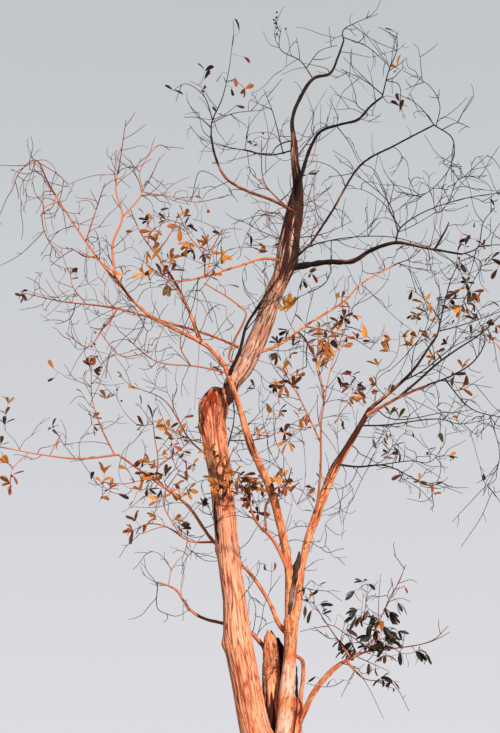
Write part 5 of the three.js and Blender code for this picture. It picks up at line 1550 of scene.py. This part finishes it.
    (WARM, 9, 165, 527, 163, 522, 158, 516), (WARM, 9, 181, 530, 179, 524, 183, 517),
    (DARK, 10, 187, 545, 190, 551, 199, 554, 207, 553),
    (WARM, 13, 168, 583, 172, 570, 177, 562, 184, 554, 192, 541),
    (WARM, 11, 172, 570, 166, 562, 158, 553, 148, 551),
    (WARM, 9, 182, 596, 181, 588, 183, 575, 186, 562, 188, 550),
    (DARK, 14, 157, 582, 157, 590, 156, 602, 158, 609, 167, 614, 178, 616, 189, 609),
    (WARM, 10, 171, 512, 168, 502, 163, 495), (WARM, 10, 175, 470, 173, 460, 170, 450),
    (DARK, 8, 186, 545, 182, 562, 184, 575, 182, 588),
    (DARK, 13, 214, 523, 211, 515, 208, 505, 205, 497), (DARK, 12, 210, 515, 203, 512, 199, 508),
    (WARM, 12, 223, 462, 235, 461, 244, 461), (WARM, 9, 243, 461, 238, 455, 236, 447),
    (DARK, 10, 218, 478, 205, 480, 193, 484, 182, 490),
    (WARM, 10, 275, 490, 269, 497, 267, 505, 271, 515), (DARK, 22, 262, 646, 257, 640, 252, 635),
    (DARK, 11, 252, 635, 254, 624, 255, 606, 249, 594, 246, 590),
    (DARK, 10, 257, 637, 261, 622, 264, 606, 270, 590, 272, 562),
    (DARK, 9, 258, 632, 266, 625, 278, 620), (DARK, 8, 262, 606, 255, 600, 248, 596),
    (WARM, 8, 247, 600, 248, 588, 253, 577), (DARK, 10, 281, 661, 276, 665, 273, 668),
    (DARK, 12, 371, 649, 362, 644, 354, 638, 344, 633, 335, 627, 325, 622, 319, 612, 315, 606),
    (DARK, 9, 338, 637, 330, 638, 325, 632), (DARK, 9, 355, 650, 351, 641, 345, 634),
    (WARM, 9, 363, 622, 362, 612, 363, 598, 362, 585), (DARK, 8, 367, 607, 367, 596, 367, 588),
    (DARK, 11, 385, 612, 388, 601, 393, 592, 400, 580, 405, 565), (DARK, 8, 389, 600, 386, 595),
    (DARK, 8, 394, 592, 393, 583), (DARK, 9, 343, 664, 350, 666, 357, 667, 363, 677),
    (DARK, 8, 354, 668, 353, 677, 347, 680, 340, 679), (DARK, 9, 372, 678, 382, 681, 392, 681),
    (WARM, 9, 350, 654, 362, 652, 374, 655), (WARM, 9, 395, 650, 402, 653, 412, 653, 421, 649),
    (WARM, 8, 380, 657, 392, 656, 400, 654), (DARK, 8, 314, 598, 306, 601, 299, 598),
    (DARK, 8, 300, 594, 306, 588, 312, 590), (WARM, 52, 265, 646, 258, 640, 253, 634),
    (DARK, 14, 247, 334, 262, 311, 277, 291, 292, 268),
    (DARK, 34, 398, 398, 417, 382, 437, 364, 458, 349, 480, 335, 500, 316),
    (DARK, 11, 284, 665, 279, 666, 275, 668, 273, 671),
    (WARM, 10, 287, 220, 272, 216, 262, 214, 254, 213),
    (WARM, 8, 285, 227, 271, 223, 260, 231, 252, 233),
    (WARM, 10, 281, 248, 264, 245, 251, 238, 245, 230),
    (WARM, 9, 283, 245, 271, 232, 267, 223, 264, 212), (WARM, 8, 264, 212, 259, 207, 257, 200),
    (WARM, 8, 265, 214, 269, 207, 269, 200), (WARM, 9, 300, 224, 308, 233, 321, 236, 332, 238),
    (WARM, 8, 299, 232, 312, 225, 322, 223), (WARM, 9, 321, 231, 316, 218, 307, 205, 304, 193),
    (DARK, 11, 326, 223, 318, 215, 314, 196, 315, 176, 321, 165),
    (DARK, 8, 291, 205, 284, 196, 279, 186, 278, 176),
    (WARM, 8, 298, 208, 308, 199, 318, 196, 331, 194),
    (WARM, 8, 196, 276, 197, 295, 196, 312, 193, 323),
    (WARM, 8, 283, 236, 273, 238, 262, 236, 256, 240),
)
CENTIMETRE = 10
PIXEL = 12
DEPTH_SLOPE = (0.15, 0.55)
FRONT_MOST, BACK_MOST = -2050, 2600
depth_chance = random.Random(7)


def seen(places):
    """The pixels at which places show: the way from the eye, aside and upwards, over its depth
    along the view, times the focal length."""
    aside, forth, up = (np.asarray(places) * MM - EYE).T
    deep = forth * math.cos(TIPPED_UP) + up * math.sin(TIPPED_UP)
    rise = up * math.cos(TIPPED_UP) - forth * math.sin(TIPPED_UP)
    return np.stack([FRAME_MIDDLE[0] + FOCAL_PIXELS * aside / deep,
                     FRAME_MIDDLE[1] - FOCAL_PIXELS * rise / deep], 1)


def stood(pixels, depths):
    """The places at given depths that show at given pixels: the ray from the eye through each
    pixel, drawn out until it is as deep."""
    aside = (pixels[:, 0] - FRAME_MIDDLE[0]) / FOCAL_PIXELS
    depths = depths + 0 * aside
    over = (FRAME_MIDDLE[1] - pixels[:, 1]) / FOCAL_PIXELS
    forth = math.cos(TIPPED_UP) - over * math.sin(TIPPED_UP)
    rise = math.sin(TIPPED_UP) + over * math.cos(TIPPED_UP)
    reach = (depths * MM - EYE[1]) / forth
    return np.stack([EYE[0] + reach * aside, depths * MM, EYE[2] + reach * rise], 1) / MM


def to_centimetre(sizes):
    """Sizes in millimetres, rounded to whole centimetres."""
    return np.round(np.asarray(sizes) / CENTIMETRE) * CENTIMETRE


def depth_near(pixel):
    """The depth of the known wood that shows nearest to a pixel."""
    return known[np.argmin(np.hypot(*(known_pixels - pixel).T)), 1]


def run_along(points):
    """The way gone along a line at each of its points."""
    return np.concatenate([[0], np.cumsum(np.linalg.norm(np.diff(points, axis=0), axis=1))])


known = np.vstack(traced)
known_pixels = seen(known)
drawn = {DARK: [], WARM: []}
for tone, thick, *passed in TWIGS_SEEN:
    pixels = np.array(passed, float).reshape(-1, 2)
    run = run_along(pixels)
    foot_deep = depth_near(pixels[0])
    change = depth_chance.choice([-1, 1]) * depth_chance.uniform(*DEPTH_SLOPE) * run[-1] * PIXEL
    if not FRONT_MOST <= foot_deep + change <= BACK_MOST:
        change = -change
    tip_deep = min(max(foot_deep + change, FRONT_MOST), BACK_MOST)
    places = stood(pixels, foot_deep + (tip_deep - foot_deep) * run / run[-1])
    drawn[tone].append((thick, to_centimetre([foot_deep, tip_deep]), to_centimetre(places[:, [0, 2]])))
    steps = np.linspace(0, 1, PATH_POINTS)[:, None]
    new = np.vstack([near + (far - near) * steps for near, far in zip(places, places[1:])])
    known = np.vstack([known, new])
    known_pixels = np.vstack([known_pixels, seen(new)])

JOINED_IN = 60
LIT_THICK = 13
DRAWN_SHARE = 1.12
wood_places = [line["at"] for line in limb_lines.values()]
wood_places += [line["at"] for mass in masses.values() for line in mass["lines"]]
wood_places = np.vstack(wood_places)
drawn_paths, drawn_tones = [], []
for tone, twigs in drawn.items():
    for thick, deeps, flat in twigs:
        run = run_along(flat)
        deep = np.interp(run / run[-1], (0, 1), deeps)
        places = np.column_stack([flat[:, 0], deep, flat[:, 1]])
        gaps = np.linalg.norm(wood_places - places[0], axis=1)
        foot = wood_places[np.argmin(gaps)]
        places = np.vstack([foot, places[1:] if gaps.min() < JOINED_IN else places])
        points = 5 * len(places)
        path = curve_at(places, np.linspace(0, 1, points))[None]
        # Thick warm twigs take the sunlit twig bark: painted light.
        lit = tone == "warm" and thick >= LIT_THICK
        thick *= DRAWN_SHARE
        add_wood("lit" if lit else tone, path, tapered(path, thick, thick * TIP_SHARE))
        wood_places = np.vstack([wood_places, path[0]])
        drawn_paths.append(curve_at(places, np.linspace(0, 1, PATH_POINTS)))
        drawn_tones.append(tone)

# Finer shoots off all of these, and off the boughs' outer parts. The crown's head has few.
OPEN_FROM, OPEN_TO = 8900, 9900
OPEN_SHARE = 0.3


def thinned(paths):
    """True for each shoot that chance keeps: all low down, and a small share in the head."""
    share = np.interp(paths[:, 0, 2], (OPEN_FROM, OPEN_TO), (1, OPEN_SHARE))
    return chance.random(len(paths)) < share


SHOOTLESS = ("trunk", "snag", "east_stem", "elbow_limb", "right_low_bough")
SHOOTS_FROM = {"upper_trunk": 0.62}
BOUGH_PIECE = 900
bough_pieces = []
for name, line in limb_lines.items():
    if name in SHOOTLESS:
        continue
    start = SHOOTS_FROM.get(name, 0.3)
    pieces = int(line["run"][-1] * (1 - start) / BOUGH_PIECE + 0.5)
    for piece in range(pieces):
        ends = [start + (1 - start) * (piece + step) / pieces for step in (0, 1)]
        bough_pieces.append(resampled(line, *ends, PATH_POINTS))
bough_shoots, _ = shoots(np.array(bough_pieces), 2, long=460, lean=(0.7, 1.3), rise=0.3, points=PATH_POINTS)
bough_shoots = bough_shoots[grows_clear(bough_shoots[:, 1:]) & thinned(bough_shoots)]
add_wood("dark", bough_shoots, tapered(bough_shoots, 9, 4))

parents = np.concatenate([np.array(parents), first_paths, np.array(drawn_paths), bough_shoots])
KEPT_SHARE = {"dark": 0.85, "warm": 0.5}
WARM_SHARE = 0.5
THIRD_SHARE = 0.6
tone_of = {owner: mass["tone"] for owner, mass in masses.items()} | {"dark": "dark", "warm": "warm"}
owners = np.array(parent_of + first_owner + drawn_tones + ["dark"] * len(bough_shoots))
second, of_parent = shoots(parents, 2, long=430, lean=(0.4, 1.1), rise=0.25, points=9)
dense = np.array([KEPT_SHARE[tone_of[name]] for name in owners[of_parent]])
dense *= [masses[name]["fine"] if name in masses else 1 for name in owners[of_parent]]
keep = grows_clear(second) & (chance.random(len(second)) < dense) & thinned(second)
second, second_owner = second[keep], owners[of_parent[keep]]
third, of_second = shoots(second, 1, long=200, lean=(0.4, 1.1), rise=0.2, points=6)
keep = grows_clear(third) & (chance.random(len(third)) < THIRD_SHARE) & thinned(third)
third, third_owner = third[keep], second_owner[of_second[keep]]
for paths, owner, foot, tip in ((second, second_owner, 10, 6), (third, third_owner, 7, 5)):
    warm = np.array([tone_of[name] == "warm" for name in owner]) & (chance.random(len(owner)) < WARM_SHARE)
    add_wood("warm", paths[warm], tapered(paths[warm], foot, tip))
    add_wood("dark", paths[~warm], tapered(paths[~warm], foot, tip))


def plain_material(name, colour, roughness):
    """One base colour, dealt out by spray."""
    material = bpy.data.materials.new(name)
    material.use_nodes = True
    shader = material.node_tree.nodes["Principled BSDF"]
    shader.inputs["Base Color"].default_value = (*colour, 1)
    shader.inputs["Roughness"].default_value = roughness
    shader.inputs["Specular IOR Level"].default_value = 0.25
    return material


def put_joined(name, parts, material, most=180000):
    """The parts joined into as few pieces as hold under the most triangles each."""
    pieces, batch, size = [], [], 0
    for vertices, faces in [*parts, (None, None)]:
        if vertices is None or size + len(faces) > most:
            offsets = np.cumsum([0] + [len(v) for v, _ in batch[:-1]])
            joined = np.vstack([f + offset for (_, f), offset in zip(batch, offsets)])
            piece = put_mesh(f"{name}_{len(pieces) + 1}", np.vstack([v for v, _ in batch]), joined, material)
            pieces.append(piece)
            batch, size = [], 0
        if vertices is not None:
            batch.append((vertices, faces))
            size += len(faces)
    return pieces


# The leaves that still hang on. They are narrow blunt-ended blades as long as a hand, widest
# past the middle, folded along the midrib, in whorls at the twigs' ends. Amber ones catch the
# sun in the west and the middle, nearly black brown ones hang in the east, dry and painted with
# shade, and drooping green ones low down.
LEAF_SHARES = np.array([0.0, 0.28, 0.62, 0.9, 1.0])
LEAF_HALVES = np.array([0.0, 0.3, 0.5, 0.4, 0.0])
TINTS = {
    "amber": (0.50, 0.19, 0.032),
    "ochre": (0.38, 0.12, 0.020),
    "rust": (0.24, 0.055, 0.018),
    # The brown tint is dry leaves and painted shade: dealt into the other sprays too, it darkens their
    # shaded leaves.
    "brown": (0.052, 0.018, 0.010),
    "olive": (0.12, 0.070, 0.020),
    "green": (0.013, 0.012, 0.007),
}
SPRAY_KINDS = {
    "amber": {"tints": (0.66, 0.16, 0.08, 0.10, 0, 0), "long": 138, "slim": 0.36, "rise": 0.35,
              "more": 2},
    "rust": {"tints": (0.15, 0.25, 0.45, 0.15, 0, 0), "long": 128, "slim": 0.36, "rise": 0.0},
    "brown": {"tints": (0.04, 0.06, 0.12, 0.68, 0.10, 0), "long": 132, "slim": 0.36, "rise": 0.0},
    "olive": {"tints": (0.10, 0, 0, 0.15, 0.75, 0), "long": 132, "slim": 0.36, "rise": 0.1},
    "broad": {"tints": (1, 0, 0, 0, 0, 0), "long": 215, "slim": 0.33, "rise": 0.0,
              "fan": (-1.05, -0.28, 0.16, 0.62), "hang": 3.0, "more": 0},
    "green": {"tints": (0, 0, 0, 0.26, 0.04, 0.70), "long": 122, "slim": 0.3, "rise": -0.5,
              "droop": 0.9},
}
PLAIN_DROOP = 0.25
# Each spray was read off the photograph: the pixels across and down of its place, and
# its number of leaves. It hangs as deep as the wood that shows nearest. Those over the main
# stem hang just in front of it, and those beside it stay back, clear of its light.
SPRAYS_SEEN = {
    "amber": (
        (8, 402, 2), (7, 463, 3), (10, 484, 5), (93, 418, 2), (54, 369, 1), (94, 357, 3),
        (106, 398, 5), (113, 390, 1), (143, 425, 2), (157, 427, 3), (167, 430, 3), (163, 455, 2),
        (184, 452, 2), (104, 472, 5), (91, 478, 1), (111, 488, 6), (118, 495, 1), (149, 462, 2),
        (156, 467, 2), (144, 474, 3), (150, 480, 3), (157, 480, 3), (165, 476, 2), (175, 485, 3),
        (140, 490, 3), (159, 501, 3), (172, 493, 3), (180, 498, 2), (188, 491, 2), (155, 517, 4),
        (175, 520, 2), (193, 465, 2), (187, 470, 2), (187, 480, 2), (223, 497, 2), (252, 487, 4),
        (256, 483, 2), (281, 478, 4), (279, 487, 2), (268, 492, 2), (303, 322, 1), (320, 327, 2),
        (316, 332, 1), (348, 307, 2), (347, 338, 3), (343, 346, 1), (290, 355, 2), (284, 368, 2),
        (297, 376, 2), (276, 385, 6), (293, 386, 3), (318, 340, 3), (331, 352, 4), (322, 357, 2),
        (340, 417, 1), (375, 385, 2), (363, 396, 4), (350, 398, 2), (370, 398, 1), (378, 365, 2),
        (390, 340, 2), (388, 351, 4), (403, 337, 2), (411, 345, 6), (460, 308, 5), (462, 367, 2),
        (144, 214, 1), (148, 221, 2), (152, 219, 2), (151, 232, 2), (133, 240, 1), (155, 231, 2),
        (155, 241, 4), (155, 249, 3), (152, 260, 2), (147, 265, 1), (163, 275, 4), (172, 270, 2),
        (180, 228, 2), (185, 216, 2), (187, 244, 5), (185, 257, 3), (206, 243, 2), (168, 292, 3),
        (143, 276, 1), (122, 275, 2), (222, 255, 4), (262, 247, 3), (268, 251, 1), (209, 452, 3),
        (221, 462, 3), (226, 470, 3), (218, 484, 3), (213, 494, 3), (233, 476, 3), (240, 478, 3),
        (264, 478, 3), (322, 334, 3), (328, 338, 3), (318, 346, 3), (326, 352, 3), (333, 356, 2),
        (344, 318, 3), (338, 330, 3), (322, 362, 3),
    ),
    "olive": (
        (5, 413, 2), (1, 444, 2), (64, 447, 1), (95, 375, 1), (246, 394, 1), (280, 411, 3),
        (390, 414, 4), (399, 417, 3), (386, 431, 1), (413, 433, 1), (443, 442, 1), (219, 234, 1),
        (214, 458, 2), (212, 477, 2), (236, 492, 3),
    ),
    "brown": (
        (4, 423, 3), (12, 475, 2), (57, 435, 1), (95, 426, 2), (89, 363, 3), (95, 370, 2),
        (152, 417, 1), (163, 439, 1), (173, 446, 3), (104, 491, 1), (107, 497, 1), (142, 461, 2),
        (148, 490, 3), (160, 490, 2), (134, 500, 1), (179, 488, 3), (135, 519, 6), (132, 530, 6),
        (143, 533, 1), (182, 525, 4), (228, 487, 1), (204, 505, 4), (240, 485, 4), (246, 492, 4),
        (262, 490, 3), (243, 500, 4), (251, 501, 4), (258, 513, 4), (275, 480, 3), (285, 483, 2),
        (281, 497, 2), (308, 494, 3), (312, 487, 2), (320, 478, 1), (302, 511, 1), (300, 520, 1),
        (285, 433, 3), (288, 443, 2), (265, 570, 1), (275, 570, 1), (340, 323, 3), (287, 331, 6),
        (277, 342, 5), (293, 345, 4), (276, 353, 4), (285, 360, 1), (288, 374, 3), (283, 386, 5),
        (280, 395, 2), (254, 388, 3), (302, 405, 1), (306, 415, 3), (325, 345, 3), (328, 361, 2),
        (341, 386, 3), (344, 428, 3), (371, 341, 1), (357, 390, 4), (363, 387, 3), (418, 317, 3),
        (428, 320, 3), (437, 352, 2), (446, 343, 2), (455, 293, 3), (450, 301, 3), (473, 292, 3),
        (467, 303, 4), (477, 301, 3), (470, 315, 3), (448, 308, 2), (452, 323, 2), (475, 319, 2),
        (490, 300, 1), (471, 335, 3), (455, 375, 2), (467, 376, 2), (385, 438, 2), (392, 437, 1),
        (394, 447, 2), (398, 452, 2), (393, 458, 2), (388, 452, 2), (373, 438, 1), (434, 447, 1),
        (428, 453, 1), (402, 474, 2), (398, 481, 1), (420, 481, 2), (418, 488, 1), (443, 483, 1),
        (434, 493, 2), (463, 234, 1), (470, 238, 2), (465, 246, 2), (474, 221, 1), (492, 255, 1),
        (497, 270, 1), (240, 32, 1), (244, 57, 1), (221, 73, 1), (205, 71, 2), (204, 79, 1),
        (226, 82, 1), (235, 77, 1), (232, 88, 1), (397, 32, 1), (397, 68, 2), (399, 101, 1),
        (400, 112, 1), (316, 157, 1), (65, 272, 1), (71, 273, 1), (74, 268, 1), (102, 257, 1),
        (165, 220, 3), (170, 258, 5), (167, 285, 4), (187, 226, 3), (193, 250, 3), (201, 246, 2),
        (203, 255, 4), (219, 281, 1), (251, 247, 2), (316, 268, 1), (303, 281, 3), (226, 490, 2),
        (270, 484, 3),
    ),
    "rust": (
        (54, 379, 1), (140, 358, 1), (136, 535, 1), (162, 518, 1), (188, 535, 2), (228, 473, 2),
        (222, 486, 2), (229, 506, 1), (291, 492, 5), (295, 438, 1), (260, 436, 2), (258, 563, 1),
        (342, 375, 2), (351, 375, 2), (347, 388, 2), (357, 338, 2), (356, 378, 1), (350, 386, 3),
        (377, 392, 3), (417, 337, 2), (390, 392, 4), (424, 312, 2), (432, 357, 4), (462, 318, 1),
        (497, 326, 3), (490, 333, 2), (496, 343, 1), (462, 388, 2), (457, 418, 2), (71, 279, 1),
        (131, 232, 1), (147, 237, 1), (169, 209, 2), (193, 231, 1), (175, 295, 1), (200, 198, 2),
        (208, 210, 1), (229, 284, 1), (272, 245, 1), (312, 274, 2), (309, 284, 1), (366, 592, 1),
        (246, 476, 2), (315, 356, 2),
    ),
    "broad": (
        (288, 311, 4), (363, 322, 1),
    ),
    "green": (
        (305, 588, 2), (317, 589, 2), (304, 599, 1), (320, 604, 3), (305, 607, 2), (312, 611, 1),
        (323, 613, 2), (337, 615, 1), (363, 580, 3), (369, 583, 2), (353, 591, 3), (356, 609, 4),
        (355, 616, 3), (361, 616, 3), (367, 611, 3), (373, 616, 3), (385, 608, 3), (391, 612, 4),
        (398, 603, 3), (378, 619, 4), (369, 626, 4), (376, 630, 5), (384, 627, 4), (390, 632, 4),
        (370, 636, 5), (378, 640, 6), (386, 637, 5), (366, 645, 4), (375, 648, 5), (384, 646, 4),
        (393, 640, 3), (398, 631, 3), (403, 632, 1), (340, 641, 4), (352, 643, 5), (353, 650, 4),
        (345, 650, 2), (385, 655, 4), (400, 653, 3), (407, 659, 1), (418, 651, 5), (427, 654, 2),
        (369, 664, 2), (376, 666, 1), (382, 678, 3), (392, 680, 2), (334, 679, 1), (316, 676, 1),
        (347, 628, 2),
    ),
}
SPRAY_WINDOWS = (
    ((205, 450), (238, 520), -260, -260),
    ((238.5, 470), (300, 525), -450, BACK_MOST),
    ((238.5, 455), (266, 520), 40, BACK_MOST),
)
foliage = {tint: [] for tint in TINTS}


def blades(roots, ways, outs, longs, wides, droop):
    """Leaf blades as arrays: at five shares of the length stand a left edge, a midrib and a
    right edge. The edges rise off the midrib by the fold, and everything sinks by the droop and
    the square of the share."""
    asides = unit(np.cross(ways, outs))
    overs = np.cross(asides, ways)
    overs *= np.where(overs[:, 2:] < 0, -1, 1)
    asides = np.cross(ways, overs)
    share = LEAF_SHARES[None, :, None]
    curl = chance.uniform(droop * 0.4, droop, (len(roots), 1, 1))
    middle = (roots[:, None] + ways[:, None] * (share * longs[:, None, None])
              - overs[:, None] * (curl * share ** 2 * longs[:, None, None]))
    half = (LEAF_HALVES[None, :] * wides[:, None])[..., None]
    fold = chance.uniform(0.1, 0.5, (len(roots), 1, 1))
    left = middle + asides[:, None] * half + overs[:, None] * half * fold
    right = middle - asides[:, None] * half + overs[:, None] * half * fold
    corners = np.stack([left, middle, right], 2)
    vertices = np.concatenate([corners[:, 0, 1:2], corners[:, 1:4].reshape(-1, 9, 3), corners[:, 4, 1:2]], 1)
    one = np.array([
        (0, 2, 1), (1, 2, 5), (1, 5, 4), (4, 5, 8), (4, 8, 7), (7, 8, 10),
        (0, 3, 2), (2, 3, 6), (2, 6, 5), (5, 6, 9), (5, 9, 8), (8, 9, 10),
    ])
    faces = one[None] + (np.arange(len(roots)) * 11)[:, None, None]
    return vertices.reshape(-1, 3), faces.reshape(-1, 3)


def hang(kind, end, way, leaves, scale=1.0):
    """One spray: leaves stand round a twig's end with chance, lean off its way, and rise or
    hang as their kind does, or spread in an upright fan. The whole spray takes one tint, drawn
    from its kind's shares."""
    look = SPRAY_KINDS[kind]
    tint = chance.choice(list(TINTS), p=look["tints"])
    way = unit(way)
    side = chance.normal(size=3)
    side = unit(side - way * (side @ way))
    other = np.cross(way, side)
    turn = np.arange(leaves) * 2 * np.pi / leaves + chance.uniform(-0.5, 0.5, leaves)
    outs = side * np.cos(turn)[:, None] + other * np.sin(turn)[:, None]
    tilt = chance.uniform(0.5, 1.3, (leaves, 1))
    ways = way * np.cos(tilt) + outs * np.sin(tilt)
    if "fan" in look:
        lean = np.array(look["fan"] if leaves > 1 else [look["hang"]])
        ways = np.stack([np.sin(lean), 0 * lean - 0.2, np.cos(lean)], 1)
        outs = np.tile([0.0, -1, 0], (leaves, 1))
    ways[:, 2] += look["rise"]
    ways = unit(ways)
    longs = look["long"] * scale * chance.uniform(0.7, 1.2, leaves)
    roots = end - way * chance.uniform(0, 25, (leaves, 1))
    wides = longs * look["slim"] * chance.uniform(0.85, 1.15, leaves)
    foliage[tint].append(blades(roots, ways, outs, longs, wides, look.get("droop", PLAIN_DROOP)))


def with_hidden(kind, leaves):
    """A spray's leaves and those behind them: a few more than were counted, unless it is one
    leaf, and two more still in a full green spray."""
    full_green = kind == "green" and leaves > 3
    return leaves + (SPRAY_KINDS[kind].get("more", 1) if leaves > 1 else 0) + 2 * full_green


def spray_depth(pixel):
    """The depth of a spray: the nearest wood's, kept between the least and the most depth of
    each window of the frame that its pixel lies in."""
    deep = depth_near(pixel)
    for first, last, least, most in SPRAY_WINDOWS:
        if (pixel >= first).all() and (pixel <= last).all():
            deep = min(max(deep, least), most)
    return deep


SPRAY_REACH = 320
BACK_DEPTH = 700
HIGH_UP, HIGH_SCALE = 10300, 1.3
SOLID_LEAF = 165
STALK_SWAY = 0.06
STALK_FOOT, STALK_TIP = 6, 4
BACK_SPRAYS = 0.3
carriers = np.vstack([wood_places, first_paths.reshape(-1, 3), second.reshape(-1, 3)])
stalks, spray_places = [], []
for kind, rows in SPRAYS_SEEN.items():
    for across, down, leaves in rows:
        pixel = np.array([[across, down]], float)
        deep = spray_depth(pixel[0])
        place = to_centimetre(stood(pixel, deep)[0])
        root = carriers[np.argmin(np.linalg.norm(carriers - place, axis=1))]
        middle = (root + place) / 2 + chance.normal(size=3) * STALK_SWAY * np.linalg.norm(place - root)
        stalks.append([root, middle, place])
        spray_places.append(place)
        way = place - root + np.array([0, 0, 1.0])
        hang(kind, place, way, with_hidden(kind, leaves), HIGH_SCALE if place[2] > HIGH_UP else 1)
stalks = arcs(np.array(stalks), 5)
add_wood("warm", stalks, tapered(stalks, STALK_FOOT, STALK_TIP))
spray_places = np.array(spray_places)
for owner, root, way, out, long in source_leaves:
    near = np.linalg.norm(spray_places - root, axis=1).min() < SPRAY_REACH
    if near or root[1] > BACK_DEPTH:
        kind = {"amber": "amber", "green": "brown", "bare": "brown"}[masses[owner]["spray"]]
        kind = "brown" if root[2] > HIGH_UP else kind
        hang(kind, root + way * 20, way, 1, long / SOLID_LEAF)
for path, owner in zip(second, second_owner):
    behind = owner in masses and path[-1][1] > BACK_DEPTH
    if behind and chance.random() < masses[owner]["leafy"] * BACK_SPRAYS:
        kind = "amber" if masses[owner]["spray"] == "amber" else "brown"
        hang(kind, path[-1], path[-1] - path[-2], int(chance.integers(2, 6)))
for tint, parts in foliage.items():
    if parts:
        put_joined(f"{tint}_leaves", parts, plain_material(f"{tint}_leaf", TINTS[tint], 0.55))

# Painted light: the lit twig bark is sunlit, the dark twig bark is in shade, and the warm one lies between.
TWIG_BARK = {"lit": (0.52, 0.165, 0.08), "warm": (0.19, 0.045, 0.022), "dark": (0.022, 0.011, 0.010)}
twigs = {}
for tone, colour in TWIG_BARK.items():
    bark = plain_material(f"{tone}_twig_bark", colour, 0.8)
    twigs[tone] = put_joined(f"{tone}_twigs", wood[tone], bark)
for owner, mass in masses.items():
    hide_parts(owner)

# Small dry fruits, dark as beads, hang on the finest twigs in a few places of the crown. Each
# place is centimetres across and up, with the room round it and the number of fruits.
FRUIT_ACROSS = 28
FRUIT_DEEP = 700
FRUIT_PLACES = (
    (-3, 1203, 13, 6), (12, 1186, 12, 6), (-24, 1047, 13, 9), (82, 1126, 9, 5), (140, 1103, 9, 3),
    (-190, 716, 12, 3), (-216, 790, 12, 4),
)


def beads(centres, across):
    """Small balls: six-sided rings at three heights between two poles."""
    height = np.array([0.6, 0.0, -0.6])
    wide = np.sqrt(1 - height ** 2)
    angle = np.arange(6) * np.pi / 3
    ring = np.stack([wide[:, None] * np.cos(angle), wide[:, None] * np.sin(angle),
                     height[:, None] + 0 * angle], -1).reshape(-1, 3)
    ball = np.vstack([ring, [[0, 0, 1], [0, 0, -1]]]) * across / 2
    side = np.arange(6)
    beside = (side + 1) % 6
    one = np.vstack([
        np.stack([np.full(6, 18), side, beside], 1),
        np.stack([np.full(6, 19), 12 + beside, 12 + side], 1),
        *(np.vstack([np.stack([r + side, r + 6 + side, r + 6 + beside], 1),
                     np.stack([r + side, r + 6 + beside, r + beside], 1)]) for r in (0, 6)),
    ])
    vertices = centres[:, None] + ball[None]
    faces = one[None] + (np.arange(len(centres)) * len(ball))[:, None, None]
    return vertices.reshape(-1, 3), faces.reshape(-1, 3)


fruits = []
for across, up, wide, number in FRUIT_PLACES:
    aside = np.hypot(carriers[:, 0] - across * 10, carriers[:, 2] - up * 10)
    near = carriers[(aside < wide * 10) & (np.abs(carriers[:, 1]) < FRUIT_DEEP)]
    picked = near[chance.permutation(len(near))[:number]]
    fruits.append(picked + chance.normal(size=picked.shape) * FRUIT_ACROSS)
put_joined("dry_fruits", [beads(np.vstack(fruits), FRUIT_ACROSS)],
           plain_material("dry_fruit", (0.03, 0.015, 0.012), 0.6))

# The floor and the light. A plain pale floor lies under the bole. A low warm light stands in
# front, a little to the right, and a pale sky fills the shadows.
floor_mesh = bpy.data.meshes.new("pale_floor")
floor_mesh.from_pydata([(-40, -40, 0), (40, -40, 0), (40, 40, 0), (-40, 40, 0)], [], [(0, 1, 2, 3)])
floor_mesh.materials.append(plain_material("pale_floor", (0.62, 0.62, 0.61), 0.9))
floor = bpy.data.objects.new("pale_floor", floor_mesh)
bpy.context.collection.objects.link(floor)

low_light = bpy.data.lights.new("low_warm_light", "SUN")
low_light.energy = 5.7
low_light.color = (1.0, 0.87, 0.72)
low_light.angle = math.radians(6)
light_stand = bpy.data.objects.new("low_warm_light", low_light)
light_stand.rotation_euler = (math.radians(64), 0, math.radians(24))
bpy.context.collection.objects.link(light_stand)

SKY_FILL = 0.32
sky = bpy.data.worlds.new("pale_sky")
sky.use_nodes = True
sky_nodes, sky_links = sky.node_tree.nodes, sky.node_tree.links
direction = sky_nodes.new("ShaderNodeTexCoord")
parted = sky_nodes.new("ShaderNodeSeparateXYZ")
fade = sky_nodes.new("ShaderNodeValToRGB")
fade.color_ramp.elements[0].position = 0.07
fade.color_ramp.elements[0].color = (0.73, 0.72, 0.76, 1)
fade.color_ramp.elements[1].position = 0.5
fade.color_ramp.elements[1].color = (0.53, 0.56, 0.58, 1)
ray = sky_nodes.new("ShaderNodeLightPath")
strength = sky_nodes.new("ShaderNodeMapRange")
strength.inputs["To Min"].default_value = SKY_FILL
strength.inputs["To Max"].default_value = 1.0
sky_links.new(direction.outputs["Generated"], parted.inputs["Vector"])
sky_links.new(parted.outputs["Z"], fade.inputs["Fac"])
sky_links.new(fade.outputs["Color"], sky_nodes["Background"].inputs["Color"])
sky_links.new(ray.outputs["Is Camera Ray"], strength.inputs["Value"])
sky_links.new(strength.outputs["Result"], sky_nodes["Background"].inputs["Strength"])
bpy.context.scene.world = sky
bpy.context.scene.view_settings.view_transform = "Standard"
